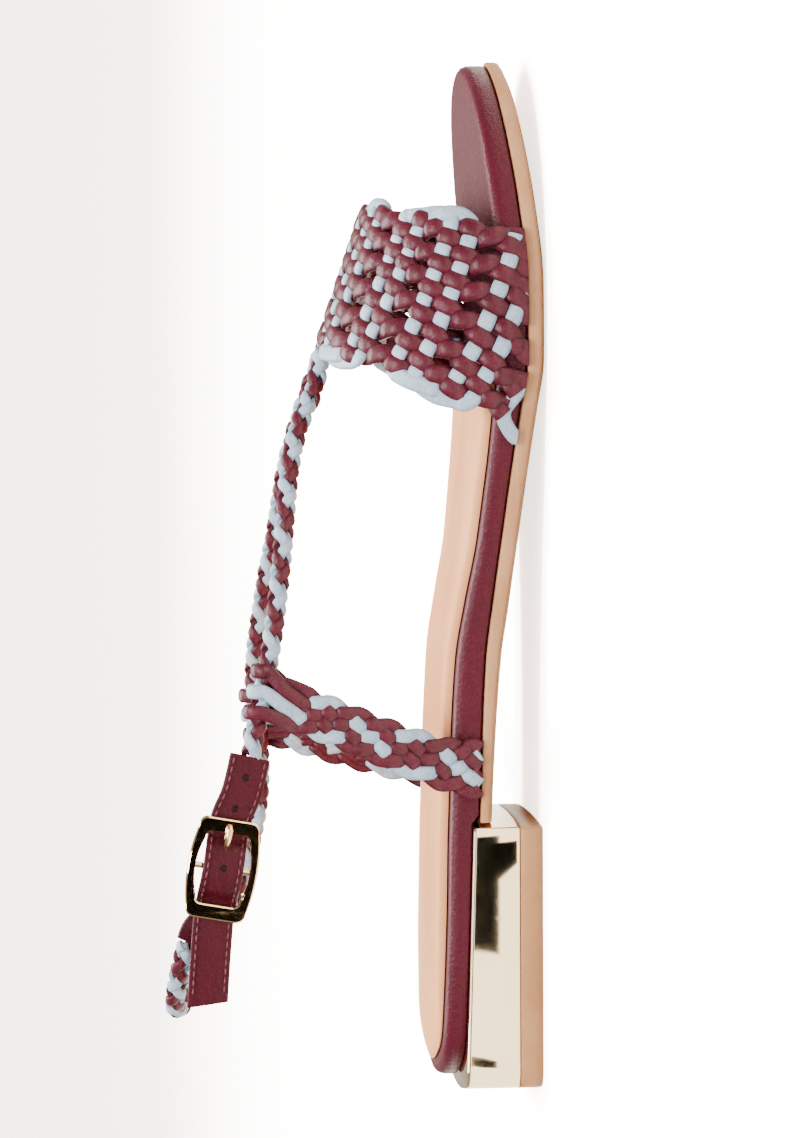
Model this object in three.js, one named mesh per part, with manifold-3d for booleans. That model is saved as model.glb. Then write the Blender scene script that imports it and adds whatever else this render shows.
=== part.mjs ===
// A low-heeled leather sandal for the right foot: woven vamp, braided ankle strap, two plaited
// quarter straps, a small buckle and a square block heel.
// Millimetres, +X to the toe, +Y to the inner side of the foot, +Z up, soles on z = 0.

import * as THREE from 'three';
import { mergeVertices } from 'three/addons/utils/BufferGeometryUtils.js';
import Module from 'manifold-3d';

const wasm = await Module();
wasm.setup();

// Sizes of the whole shoe
const shoeLength = 253.5;
const ballWidth = 84;
const ankleHeight = 90;
const clearance = 0.3;

// Sizes of the sole
const seatBackHeight = 18;
const outsoleEdge = 2.8;
const outsoleBevel = 1.8;
const bevelWidth = 9;
const edgeEase = 0.5;
const footbedThickness = 6.5;
const footbedInset = 0.9;
const footbedRounding = 2.6;
const insoleThickness = 2.2;
const insoleInset = 4.8;
const insoleEdge = 0.5;
const insoleLength = 180;
const innerBank = 1.1;

// Sizes of the heel
const heelLength = 66.8;
const heelWidth = 54;
const heelCornerRadius = 5.5;
const heelBackBulge = 2.6;
const heelBreastBulge = 0.8;
const heelTopFront = 17.0;
const heelTopBack = 18.9;
const liftHeight = 5.6;

// Sizes of the woven vamp
const vampWall = 1.6;
const stripRelief = 1.1;
const crossRows = 12;
const columnPairs = 8;
const sideBulge = 2.6;

// Sizes of the straps
const braidHeight = 5.6;
const braidWidth = 4.4;
const strandLength = 9;
const strandRelief = 0.45;
const plaitWidth = 13.4;
const plaitThickness = 2.6;
const plaitRelief = 0.5;
const plaitStrandLength = 9;
const loopWall = 1.2;
const loopRoom = 0.4;

// Sizes of the tab, the chape and the buckle
const tabWidth = 9.8;
const tabThickness = 1.7;
const tabTipCut = 3.2;
const chapeWidth = 8.6;
const chapeNarrowWidth = 6.4;
const chapeThickness = 1.1;
const buckleLength = 24.8;
const buckleEndWidth = 14.6;
const buckleMiddleWidth = 17;
const buckleEndBar = 3.7;
const buckleSideBar = 1.9;
const prongWall = 0.8;
const buckleThickness = 1.7;
const pivotRadius = 0.75;
const pivotDrop = 0.5;
const buckleCorner = 2.4;
const windowCorner = 1.8;
const prongRadius = 0.8;

// Outline of the outsole, from the back of the heel to the toe: places as shares of the length,
// sides as shares of the ball's width
const outlineRows = [
  { place: 0.018, outer: 0.145, inner: 0.145 },
  { place: 0.045, outer: 0.265, inner: 0.265 },
  { place: 0.105, outer: 0.308, inner: 0.308 },
  { place: 0.200, outer: 0.319, inner: 0.314 },
  { place: 0.300, outer: 0.321, inner: 0.305 },
  { place: 0.400, outer: 0.330, inner: 0.300 },
  { place: 0.510, outer: 0.366, inner: 0.330 },
  { place: 0.620, outer: 0.432, inner: 0.405 },
  { place: 0.735, outer: 0.472, inner: 0.488 },
  { place: 0.825, outer: 0.445, inner: 0.528 },
  { place: 0.890, outer: 0.372, inner: 0.512 },
  { place: 0.945, outer: 0.245, inner: 0.440 },
  { place: 0.982, outer: 0.090, inner: 0.310 },
];
const toeTipSide = 0.100;
const heelEnd = 1.6;

// The sole along its length: the seam between outsole and footbed as a share of its height at the
// back, the outsole, the footbed and the padded insole as shares of their thicknesses
const soleRows = [
  { place: 0.000, seam: 1.000, outsole: 0.76, board: 0.91, sock: 0.25 },
  { place: 0.080, seam: 0.967, outsole: 0.76, board: 0.91, sock: 0.72 },
  { place: 0.180, seam: 0.900, outsole: 0.76, board: 0.97, sock: 1.00 },
  { place: 0.265, seam: 0.844, outsole: 0.76, board: 1.06, sock: 1.00 },
  { place: 0.340, seam: 0.811, outsole: 0.82, board: 1.06, sock: 1.00 },
  { place: 0.425, seam: 0.761, outsole: 0.94, board: 1.02, sock: 1.00 },
  { place: 0.480, seam: 0.672, outsole: 1.00, board: 0.93, sock: 1.00 },
  { place: 0.540, seam: 0.567, outsole: 1.00, board: 0.80, sock: 1.00 },
  { place: 0.605, seam: 0.456, outsole: 1.00, board: 0.82, sock: 1.00 },
  { place: 0.665, seam: 0.339, outsole: 1.00, board: 0.93, sock: 1.00 },
  { place: 0.710, seam: 0.2556, outsole: 1.00, board: 1.00, sock: 1.00 },
  { place: 0.785, seam: 0.2556, outsole: 1.00, board: 1.00, sock: 1.00 },
  { place: 0.863, seam: 0.344, outsole: 1.00, board: 1.00, sock: 1.00 },
  { place: 0.920, seam: 0.433, outsole: 1.00, board: 0.96, sock: 1.00 },
  { place: 1.000, seam: 0.556, outsole: 1.00, board: 0.93, sock: 1.00 },
];

// A smooth curve through the rows of a table that never overshoots them
function throughRows(rows, name, scale = 1) {
  const at = rows.map((row) => row.place);
  const value = rows.map((row) => row[name] * scale);
  const last = at.length - 1;
  const rise = at.slice(1).map((place, i) => (value[i + 1] - value[i]) / (place - at[i]));
  const slope = at.map((place, i) => {
    if (i === 0) return rise[0];
    if (i === last) return rise[last - 1];
    if (rise[i - 1] * rise[i] <= 0) return 0;
    return (2 * rise[i - 1] * rise[i]) / (rise[i - 1] + rise[i]);
  });
  return (place) => {
    const x = THREE.MathUtils.clamp(place, at[0], at[last]);
    let i = 0;
    while (i < last - 1 && x > at[i + 1]) i += 1;
    const step = at[i + 1] - at[i];
    const t = (x - at[i]) / step;
    const t2 = t * t;
    const t3 = t2 * t;
    return value[i] * (2 * t3 - 3 * t2 + 1) + value[i + 1] * (3 * t2 - 2 * t3)
      + step * (slope[i] * (t3 - 2 * t2 + t) + slope[i + 1] * (t3 - t2));
  };
}

const seamShare = throughRows(soleRows, 'seam');
const outsoleShare = throughRows(soleRows, 'outsole');
const boardShare = throughRows(soleRows, 'board');
const sockShare = throughRows(soleRows, 'sock');
const seatHeight = (x) => seatBackHeight * seamShare(x / shoeLength);

// Closed geometry from points and faces
function meshFrom(points, faces) {
  const geometry = new THREE.BufferGeometry();
  const places = points.flatMap((p) => [p.x, p.y, p.z]);
  geometry.setAttribute('position', new THREE.Float32BufferAttribute(places, 3));
  geometry.setIndex(faces.flat());
  return geometry;
}

function toSolid(geometry) {
  const bare = geometry.clone();
  bare.deleteAttribute('normal');
  bare.deleteAttribute('uv');
  const merged = mergeVertices(bare, 1e-4);
  return new wasm.Manifold(new wasm.Mesh({
    numProp: 3,
    vertProperties: new Float32Array(merged.attributes.position.array),
    triVerts: new Uint32Array(merged.index.array),
  }));
}

function toGeometry(solid) {
  const mesh = solid.getMesh();
  const geometry = new THREE.BufferGeometry();
  const places = new Float32Array(mesh.vertProperties);
  geometry.setAttribute('position', new THREE.BufferAttribute(places, 3));
  geometry.setIndex(new THREE.BufferAttribute(new Uint32Array(mesh.triVerts), 1));
  return geometry;
}

const group = new THREE.Group();

function addPiece(name, geometry, colour, roughness, metalness) {
  const finish = new THREE.MeshStandardMaterial({ color: colour, roughness, metalness });
  const piece = new THREE.Mesh(geometry, finish);
  piece.name = name;
  group.add(piece);
}

// Plan outline of the sole as one closed curve: the outer side forward, the inner side back
const outlinePoint = (place, side) => new THREE.Vector3(place * shoeLength, side * ballWidth, 0);
const outerSide = outlineRows.map((row) => outlinePoint(row.place, -row.outer));
const innerSide = outlineRows.map((row) => outlinePoint(row.place, row.inner));
const heelPoint = new THREE.Vector3(heelEnd, 0, 0);
const toePoint = new THREE.Vector3(shoeLength, toeTipSide * ballWidth, 0);
const outlineCurve = new THREE.CatmullRomCurve3(
  [heelPoint, ...outerSide, toePoint, ...innerSide.reverse()], true, 'centripetal');
const stepsPerRow = 3;
const sideSteps = (outlineRows.length + 1) * stepsPerRow;
const ringSize = 2 * sideSteps;
const outlinePoints = Array.from({ length: ringSize }, (_, i) => outlineCurve.getPoint(i / ringSize));

// The outline moved inward by a distance
function insetOutline(distance) {
  return outlinePoints.map((point, i) => {
    const before = outlinePoints[(i + ringSize - 1) % ringSize];
    const after = outlinePoints[(i + 1) % ringSize];
    const along = after.clone().sub(before).normalize();
    return new THREE.Vector3(point.x - along.y * distance, point.y + along.x * distance, 0);
  });
}

// Where a side of the outline crosses a place along the length
function sideAt(x, inner) {
  let low = inner ? sideSteps : 0;
  const high = inner ? ringSize : sideSteps;
  const place = (i) => outlinePoints[i % ringSize].x;
  while (low < high - 1 && (place(low) - x) * (place(low + 1) - x) > 0) low += 1;
  const a = outlinePoints[low % ringSize];
  const b = outlinePoints[(low + 1) % ringSize];
  return THREE.MathUtils.lerp(a.y, b.y, THREE.MathUtils.clamp((x - a.x) / (b.x - a.x), 0, 1));
}

// A sole layer: rings of the outline from the middle of its underside, round its edge, to the
// middle of its top, closed by ladders between the two sides
function soleLayer(lower, upper, edgeRows) {
  const points = [];
  const faces = [];
  const rungs = 2;
  for (const row of edgeRows) {
    const surface = row.face === 'lower' ? lower : upper;
    for (const point of insetOutline(row.inset)) {
      points.push(new THREE.Vector3(point.x, point.y, surface(point.x, point.y) + row.rise));
    }
  }
  for (let ring = 0; ring < edgeRows.length - 1; ring += 1) {
    for (let i = 0; i < ringSize; i += 1) {
      const a = ring * ringSize + i;
      const b = ring * ringSize + ((i + 1) % ringSize);
      faces.push([a, b, b + ringSize], [a, b + ringSize, a + ringSize]);
    }
  }
  const fill = (start, surface, rise, up) => {
    const ladder = [];
    for (let i = 0; i <= sideSteps; i += 1) {
      const outer = start + i;
      const inner = start + ((ringSize - i) % ringSize);
      const rung = [outer];
      if (outer !== inner) {
        for (let k = 1; k < rungs; k += 1) {
          const p = points[outer].clone().lerp(points[inner], k / rungs);
          p.z = surface(p.x, p.y) + rise;
          rung.push(points.length);
          points.push(p);
        }
        rung.push(inner);
      }
      ladder.push(rung);
    }
    for (let i = 0; i < sideSteps; i += 1) {
      const here = ladder[i];
      const next = ladder[i + 1];
      const count = Math.max(here.length, next.length) - 1;
      for (let k = 0; k < count; k += 1) {
        const a = here[Math.min(k, here.length - 1)];
        const b = here[Math.min(k + 1, here.length - 1)];
        const c = next[Math.min(k, next.length - 1)];
        const d = next[Math.min(k + 1, next.length - 1)];
        const corners = here.length > 1 && next.length > 1 ? [[a, c, d], [a, d, b]]
          : (here.length === 1 ? [[a, c, d]] : [[a, c, b]]);
        for (const [p, q, r] of corners) faces.push(up ? [p, q, r] : [p, r, q]);
      }
    }
  };
  const firstRow = edgeRows[0];
  const lastRow = edgeRows[edgeRows.length - 1];
  fill(0, firstRow.face === 'lower' ? lower : upper, firstRow.rise, false);
  fill((edgeRows.length - 1) * ringSize, lastRow.face === 'lower' ? lower : upper, lastRow.rise, true);
  return meshFrom(points, faces);
}

function boxSolid(minX, maxX, minZ, maxZ) {
  const box = new THREE.BoxGeometry(maxX - minX, 2 * ballWidth, maxZ - minZ);
  box.translate((minX + maxX) / 2, 0, (minZ + maxZ) / 2);
  return toSolid(box);
}

// Outsole: a thin sole from the toe to the breast of the heel, bevelled underneath
const breastPlace = heelLength;
const outsoleTop = (x) => seatHeight(x);
const outsoleBottom = (x) => seatHeight(x) - (outsoleEdge + outsoleBevel) * outsoleShare(x / shoeLength);
const wholeOutsole = soleLayer(outsoleBottom, outsoleTop, [
  { face: 'lower', inset: bevelWidth, rise: 0 },
  { face: 'lower', inset: edgeEase, rise: outsoleBevel - edgeEase },
  { face: 'lower', inset: 0, rise: outsoleBevel },
  { face: 'upper', inset: 0, rise: -edgeEase },
  { face: 'upper', inset: edgeEase, rise: 0 },
]);
const aboveShoe = 60;
const breastDepth = heelBreastBulge + clearance;
const frontHalf = boxSolid(breastPlace + breastDepth, shoeLength + bevelWidth, -aboveShoe, aboveShoe);
addPiece('outsole', toGeometry(toSolid(wholeOutsole).intersect(frontHalf)), 0xd7a587, 0.6, 0);

// Heel: a lift and a block with one plan, nearly square, its back gently curved
function heelPlan() {
  const half = heelWidth / 2;
  const back = heelBackBulge;
  const r = heelCornerRadius;
  const plan = new THREE.Shape();
  plan.moveTo(breastPlace, -half);
  plan.quadraticCurveTo(breastPlace + 2 * heelBreastBulge, 0, breastPlace, half);
  plan.lineTo(back + r, half);
  plan.quadraticCurveTo(back, half, back - r * 0.08, half - r);
  plan.quadraticCurveTo(-back, 0, back - r * 0.08, -half + r);
  plan.quadraticCurveTo(back, -half, back + r, -half);
  plan.closePath();
  return plan;
}

function heelPrism(fromHeight, toHeight) {
  const prism = new THREE.ExtrudeGeometry(heelPlan(), {
    depth: toHeight - fromHeight, bevelEnabled: false, curveSegments: 7,
  });
  prism.translate(0, 0, fromHeight);
  return prism;
}

// Everything above the sloping top of the heel block
function aboveHeelTop(gap) {
  const slope = (heelTopFront - heelTopBack) / breastPlace;
  const wedge = new THREE.BoxGeometry(4 * breastPlace, 2 * ballWidth, aboveShoe);
  const place = wedge.attributes.position;
  for (let i = 0; i < place.count; i += 1) {
    const top = heelTopBack + slope * place.getX(i) + gap;
    place.setZ(i, place.getZ(i) > 0 ? aboveShoe : top);
  }
  return wedge;
}

addPiece('heel_lift', heelPrism(0, liftHeight), 0xc4966f, 0.45, 0);
const heelBlock = toSolid(heelPrism(liftHeight, heelTopBack + liftHeight)).subtract(toSolid(aboveHeelTop(0)));
addPiece('heel_block', toGeometry(heelBlock), 0xd9c3a0, 0.08, 1);

// Footbed: a board wrapped in leather, rounded at its edge, flat where it stands on the heel
const bank = (x, y) => {
  const outer = sideAt(x, false);
  const inner = sideAt(x, true);
  return innerBank * THREE.MathUtils.clamp((y - outer) / Math.max(inner - outer, 1), 0, 1);
};
const footbedBottom = (x) => seatHeight(x) + clearance;
const footbedTop = (x, y) => footbedBottom(x) + footbedThickness * boardShare(x / shoeLength) + bank(x, y);
const wholeFootbed = soleLayer(footbedBottom, footbedTop, [
  { face: 'lower', inset: footbedInset + 1, rise: 0 },
  { face: 'lower', inset: footbedInset, rise: 1 },
  { face: 'upper', inset: footbedInset, rise: -footbedRounding },
  { face: 'upper', inset: footbedInset + footbedRounding * 0.3, rise: -footbedRounding * 0.3 },
  { face: 'upper', inset: footbedInset + footbedRounding, rise: 0 },
]);
const behindBreast = boxSolid(-shoeLength, breastPlace + breastDepth, -aboveShoe, aboveShoe);
const seatCut = behindBreast.subtract(toSolid(aboveHeelTop(clearance)));
addPiece('footbed', toGeometry(toSolid(wholeFootbed).subtract(seatCut)), 0x6e2332, 0.5, 0);

// Insole: a padded sock from under the vamp to the heel
const insoleBottom = (x, y) => footbedTop(x, y) + clearance;
const insoleTop = (x, y) => insoleBottom(x, y) + insoleThickness * sockShare(x / shoeLength);
const wholeInsole = soleLayer(insoleBottom, insoleTop, [
  { face: 'lower', inset: insoleInset, rise: 0 },
  { face: 'lower', inset: insoleInset, rise: insoleEdge },
  { face: 'upper', inset: insoleInset + insoleThickness, rise: 0 },
]);
const insoleHalf = boxSolid(-shoeLength, insoleLength, -aboveShoe, aboveShoe);
addPiece('insole', toGeometry(toSolid(wholeInsole).intersect(insoleHalf)), 0xeecbad, 0.75, 0);

// Sole edge that a strap wraps: outside the footbed by the clearance
const strapFoot = (x, inner, half) => {
  const y = sideAt(x, inner);
  const outward = half + clearance - footbedInset;
  return new THREE.Vector3(x, inner ? y + outward : y - outward, seatHeight(x) + clearance);
};

// A closed wall from a grid of outer and inner points, with some cells left open
function wallSolid(outer, inner, isOpen) {
  const rows = outer.length - 1;
  const columns = outer[0].length - 1;
  const open = (i, j) => i < 0 || j < 0 || i >= rows || j >= columns || isOpen(i, j);
  const points = [...inner.flat(), ...outer.flat()];
  const half = (rows + 1) * (columns + 1);
  const at = (i, j) => i * (columns + 1) + j;
  const faces = [];
  const side = (a, b) => faces.push([b, a, a + half], [b, a + half, b + half]);
  for (let i = 0; i < rows; i += 1) {
    for (let j = 0; j < columns; j += 1) {
      if (open(i, j)) continue;
      const [a, b, c, d] = [at(i, j), at(i + 1, j), at(i + 1, j + 1), at(i, j + 1)];
      faces.push([a, b, c], [a, c, d]);
      faces.push([a + half, c + half, b + half], [a + half, d + half, c + half]);
      if (open(i, j - 1)) side(a, b);
      if (open(i + 1, j)) side(b, c);
      if (open(i, j + 1)) side(c, d);
      if (open(i - 1, j)) side(d, a);
    }
  }
  const used = new Map();
  const kept = [];
  const packed = faces.map((face) => face.map((index) => {
    if (!used.has(index)) {
      used.set(index, kept.length);
      kept.push(points[index]);
    }
    return used.get(index);
  }));
  return meshFrom(kept, packed);
}

// Front and rear edges of the vamp: where they meet the outer sole edge, the inner one and the
// ridge, as shares of the length, and the ridge's height as a share of the ankle's height
const vampEdges = {
  front: { outer: 0.8146, inner: 0.8284, ridge: 0.8540, height: 0.4378 },
  rear: { outer: 0.6252, inner: 0.6667, ridge: 0.7120, height: 0.5733 },
};
const ridgeSide = 0.0833 * ballWidth;

// The form of the last under the vamp: row runs from the front edge, 0, to the rear edge, 1, and
// side from the outer sole edge, -1, over the ridge, 0, to the inner sole edge, 1
const fullness = 2.15;
const frontSweep = 0.6;
const rearSweep = 0.8;

function lastForm(row, side) {
  const inner = side > 0;
  const climb = (1 - Math.abs(side)) * Math.PI / 2;
  const between = (name) => THREE.MathUtils.lerp(vampEdges.front[name], vampEdges.rear[name], row);
  const edge = strapFoot(between(inner ? 'inner' : 'outer') * shoeLength, inner, vampWall / 2);
  const ridge = new THREE.Vector3(
    between('ridge') * shoeLength, ridgeSide, between('height') * ankleHeight);
  const rise = Math.pow(Math.sin(climb), 2 / fullness);
  const reach = Math.pow(Math.max(Math.cos(climb), 0), 2 / fullness);
  const sweep = Math.pow(rise, THREE.MathUtils.lerp(frontSweep, rearSweep, row));
  const x = THREE.MathUtils.lerp(edge.x, ridge.x, sweep);
  const widest = strapFoot(x, inner, vampWall / 2).y;
  const bulge = sideBulge * Math.sin(2 * climb) * (inner ? 1 : -1);
  return new THREE.Vector3(
    x, ridge.y + (widest - ridge.y) * reach + bulge, THREE.MathUtils.lerp(edge.z, ridge.z, rise));
}

function lastNormal(row, side) {
  const e = 0.004;
  const s = THREE.MathUtils.clamp(side, -1 + e, 1 - e);
  const along = lastForm(row + e, s).sub(lastForm(row - e, s));
  const across = lastForm(row, s + e).sub(lastForm(row, s - e));
  return across.cross(along).normalize();
}

// Vamp: crosswise strips under and over pairs of lengthwise strips; between the pairs the
// crosswise strips cross each other two by two and leave holes
const cellsPerRow = 2;
const cellsPerPair = 6;
const vampRows = crossRows * cellsPerRow;
const vampColumns = columnPairs * cellsPerPair;

function knotRelief(i, j) {
  const inPair = j % cellsPerPair;
  if (inPair === 5) return i % 4 === 2 ? 1 : 0.2;
  if (i % 2 === 0 || inPair % 2 === 0) return 0.1;
  const row = (i - 1) / 2;
  const column = (inPair - 1) / 2;
  return (row + column) % 2 === 0 ? 1 : 0.55;
}

function isHoleCentre(i, j) {
  return j % cellsPerPair === 5 && i % 4 === 0 && i > 0 && i < vampRows && j < vampColumns - 1;
}

function isHoleCell(i, j) {
  return [0, 1].some((a) => [0, 1].some((b) => isHoleCentre(i + a, j + b)));
}

function vampPlace(i, j) {
  let row = i;
  let column = j;
  for (const a of [-1, 1]) {
    for (const b of [-1, 1]) {
      if (isHoleCentre(i + a, j + b)) {
        row += a * 0.42;
        column += b * 0.3;
      }
    }
  }
  return [row / vampRows, (2 * column) / vampColumns - 1];
}

const vampOuterGrid = [];
const vampInnerGrid = [];
for (let i = 0; i <= vampRows; i += 1) {
  const outerRow = [];
  const innerRow = [];
  for (let j = 0; j <= vampColumns; j += 1) {
    const [row, side] = vampPlace(i, j);
    const point = lastForm(row, side);
    const normal = lastNormal(row, side);
    if (j === 0 || j === vampColumns) normal.setZ(0).normalize();
    const fade = THREE.MathUtils.clamp((1 - Math.abs(side)) * 12, 0, 1);
    const proud = vampWall / 2 + stripRelief * knotRelief(i, j) * fade;
    outerRow.push(point.clone().addScaledVector(normal, proud));
    innerRow.push(point.clone().addScaledVector(normal, -vampWall / 2));
  }
  vampOuterGrid.push(outerRow);
  vampInnerGrid.push(innerRow);
}
const vampWallGeometry = wallSolid(vampOuterGrid, vampInnerGrid, isHoleCell);

// A cord or flat strap: a ring of points carried along a route, closed at both ends
function sweptSolid(route, steps, ringAt) {
  const rings = Array.from({ length: steps + 1 }, (_, k) => ringAt(k / steps));
  const size = rings[0].length;
  const points = rings.flat();
  const faces = [];
  for (let k = 0; k < steps; k += 1) {
    for (let i = 0; i < size; i += 1) {
      const a = k * size + i;
      const b = k * size + ((i + 1) % size);
      faces.push([a, b, b + size], [a, b + size, a + size]);
    }
  }
  for (const [ring, flip] of [[0, true], [steps, false]]) {
    const centre = new THREE.Vector3();
    rings[ring].forEach((p) => centre.addScaledVector(p, 1 / size));
    const middle = points.length;
    points.push(centre);
    for (let i = 0; i < size; i += 1) {
      const a = ring * size + i;
      const b = ring * size + ((i + 1) % size);
      faces.push(flip ? [middle, b, a] : [middle, a, b]);
    }
  }
  return meshFrom(points, faces);
}

// Directions across a strap at a share of its route: outward from the foot, and edgeways
function strapFrame(route, share, outwardAt) {
  const centre = route.getPointAt(share);
  const along = route.getTangentAt(share);
  const outward = outwardAt(centre, share);
  outward.addScaledVector(along, -outward.dot(along)).normalize();
  const edgeways = along.clone().cross(outward).normalize();
  return { centre, along, outward, edgeways };
}

// A point on a strap: its place along the shoe, its side and its height as shares of the length,
// the ball's width and the height of the ankle
function placed(row) {
  return new THREE.Vector3(row.place * shoeLength, row.side * ballWidth, row.height * ankleHeight);
}

const ankleCentre = placed({ place: 0.276, side: 0, height: 0.778 });
const ankleRoundness = 0.35;
const awayFromAnkle = (centre) => new THREE.Vector3(
  (centre.x - ankleCentre.x) * ankleRoundness, centre.y, 0).normalize();

// A thin braid of four strands
function thinBraid(route) {
  const length = route.getLength();
  const steps = Math.round(length / 3);
  const sides = 6;
  return sweptSolid(route, steps, (share) => {
    const { centre, outward, edgeways } = strapFrame(route, share, awayFromAnkle);
    const wave = Math.cos((share * length * 2 * Math.PI) / strandLength);
    return Array.from({ length: sides }, (_, i) => {
      const turn = (i * 2 * Math.PI) / sides;
      const swell = strandRelief * wave * Math.sign(Math.round(Math.sin(turn)));
      return centre.clone()
        .addScaledVector(outward, Math.cos(turn) * (braidWidth / 2 + swell * 0.5))
        .addScaledVector(edgeways, Math.sin(turn) * (braidHeight / 2) + swell);
    });
  });
}

// A smooth open curve through points
const curveThrough = (points) => new THREE.CatmullRomCurve3(points, false, 'centripetal');

// Routes of the two thin braids, from the rear edge of the vamp
const outerBraidRows = [
  { place: 0.7239, side: -0.0060, height: 0.5600 },
  { place: 0.7053, side: -0.0357, height: 0.5778 },
  { place: 0.6765, side: -0.0833, height: 0.6033 },
  { place: 0.6529, side: -0.1310, height: 0.6356 },
  { place: 0.6249, side: -0.1905, height: 0.6622 },
  { place: 0.5964, side: -0.2381, height: 0.6778 },
  { place: 0.5684, side: -0.2798, height: 0.6878 },
  { place: 0.5357, side: -0.3155, height: 0.6978 },
  { place: 0.5030, side: -0.3393, height: 0.7089 },
  { place: 0.4702, side: -0.3571, height: 0.7211 },
  { place: 0.4371, side: -0.3690, height: 0.7356 },
  { place: 0.4043, side: -0.3786, height: 0.7533 },
  { place: 0.3748, side: -0.3857, height: 0.7711 },
  { place: 0.3385, side: -0.3905, height: 0.7911 },
];
const innerBraidRows = [
  { place: 0.7258, side: 0.1726, height: 0.5511 },
  { place: 0.7041, side: 0.1845, height: 0.5711 },
  { place: 0.6746, side: 0.2024, height: 0.6000 },
  { place: 0.6430, side: 0.2214, height: 0.6289 },
  { place: 0.6036, side: 0.2429, height: 0.6578 },
  { place: 0.5649, side: 0.2667, height: 0.6756 },
  { place: 0.5325, side: 0.2929, height: 0.6889 },
  { place: 0.5002, side: 0.3214, height: 0.7067 },
  { place: 0.4600, side: 0.3452, height: 0.7244 },
  { place: 0.4193, side: 0.3631, height: 0.7400 },
  { place: 0.3791, side: 0.3750, height: 0.7444 },
  { place: 0.3471, side: 0.3786, height: 0.7356 },
  { place: 0.3116, side: 0.3762, height: 0.7278 },
  { place: 0.2761, side: 0.3690, height: 0.7300 },
  { place: 0.2367, side: 0.3500, height: 0.7489 },
  { place: 0.1972, side: 0.3143, height: 0.7844 },
  { place: 0.1598, side: 0.2571, height: 0.8333 },
  { place: 0.1207, side: 0.1762, height: 0.8933 },
  { place: 0.0899, side: 0.0738, height: 0.9444 },
  { place: 0.0797, side: -0.0381, height: 0.9767 },
  { place: 0.0915, side: -0.1500, height: 0.9900 },
  { place: 0.1156, side: -0.2405, height: 0.9867 },
  { place: 0.1389, side: -0.2952, height: 0.9756 },
  { place: 0.1570, side: -0.3214, height: 0.9633 },
];

const outerBraidRoute = curveThrough(outerBraidRows.map(placed));
const innerBraidRoute = curveThrough(innerBraidRows.map(placed));

const upper = toSolid(vampWallGeometry)
  .add(toSolid(thinBraid(outerBraidRoute)))
  .add(toSolid(thinBraid(innerBraidRoute)));
addPiece('upper', toGeometry(upper), 0x7a2636, 0.5, 0);

// Quarter straps: flat plaits from the seam of the sole to a loop round the thin braid. Places are
// shares of the length, heights of the ankle's height, and the way outward and the widths of the
// plait's width at its head
const outerPlaitRows = [
  { place: 0.3203, height: 0.1711, out: 0.000, width: 1.209 },
  { place: 0.3207, height: 0.2167, out: 0.007, width: 1.149 },
  { place: 0.3270, height: 0.2778, out: 0.104, width: 1.060 },
  { place: 0.3369, height: 0.3556, out: 0.224, width: 1.000 },
  { place: 0.3483, height: 0.4333, out: 0.321, width: 0.963 },
  { place: 0.3602, height: 0.5111, out: 0.396, width: 0.940 },
  { place: 0.3716, height: 0.5889, out: 0.433, width: 0.940 },
  { place: 0.3819, height: 0.6667, out: 0.455, width: 0.970 },
  { place: 0.3897, height: 0.7333, out: 0.515, width: 1.000 },
];
const innerPlaitRows = [
  { place: 0.3034, height: 0.1733, out: 0.000, width: 1.209 },
  { place: 0.3037, height: 0.2167, out: 0.007, width: 1.149 },
  { place: 0.3073, height: 0.2778, out: 0.119, width: 1.060 },
  { place: 0.3128, height: 0.3556, out: 0.239, width: 1.000 },
  { place: 0.3187, height: 0.4333, out: 0.343, width: 0.963 },
  { place: 0.3258, height: 0.5111, out: 0.418, width: 0.940 },
  { place: 0.3345, height: 0.5889, out: 0.463, width: 0.940 },
  { place: 0.3432, height: 0.6667, out: 0.493, width: 0.970 },
  { place: 0.3503, height: 0.7333, out: 0.552, width: 1.000 },
];
const outerLoopPlace = 0.3905;
const innerLoopPlace = 0.3535;

function quarterPlait(rows, inner, braidRoute, loopPlace) {
  const sign = inner ? 1 : -1;
  const foot = strapFoot(rows[0].place * shoeLength, inner, plaitThickness / 2);
  const route = curveThrough(rows.map((row) => new THREE.Vector3(
    row.place * shoeLength, foot.y + sign * row.out * plaitWidth, row.height * ankleHeight)));
  const widths = rows.map((row, i) => ({ place: i / (rows.length - 1), width: row.width * plaitWidth }));
  const widthAt = throughRows(widths, 'width');
  const steps = 18;
  const length = route.getLength();
  const sideways = () => new THREE.Vector3(0, sign, 0);
  const plait = sweptSolid(route, steps, (share) => {
    const { centre, outward, edgeways } = strapFrame(route, share, sideways);
    const half = widthAt(share) / 2;
    const profile = [
      [-1, -0.5], [-1, 0.2], [-0.5, 0.8], [0, 0.6], [0.5, 0.8], [1, 0.2], [1, -0.5], [0, -0.7],
    ];
    return profile.map(([across, thick], i) => {
      const wave = Math.cos((share * length * 2 * Math.PI) / plaitStrandLength + across * Math.PI);
      const swell = Math.abs(across) === 0.5 || Math.abs(across) === 1 ? wave : -wave;
      const lift = i === 7 ? 0 : plaitRelief * swell * 0.5;
      const widen = Math.abs(across) === 1 ? plaitRelief * wave : 0;
      return centre.clone()
        .addScaledVector(edgeways, across * (half + widen))
        .addScaledVector(outward, thick * (plaitThickness / 2) + lift);
    });
  });
  // The head of the plait is a loop round the thin braid
  const braidShare = nearestShare(braidRoute, loopPlace * shoeLength);
  const loopWidth = rows[rows.length - 1].width * plaitWidth;
  return toSolid(plait)
    .add(sleeve(braidRoute, braidShare, loopWall, loopWidth))
    .subtract(sleeve(braidRoute, braidShare, 0, 2 * loopWidth));
}

// The share of a route that lies at a place along the shoe, before the route turns back
function nearestShare(route, x) {
  const tries = 400;
  for (let k = 0; k <= tries; k += 1) {
    if (route.getPointAt(k / tries).x < x) return k / tries;
  }
  return 1;
}

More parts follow.
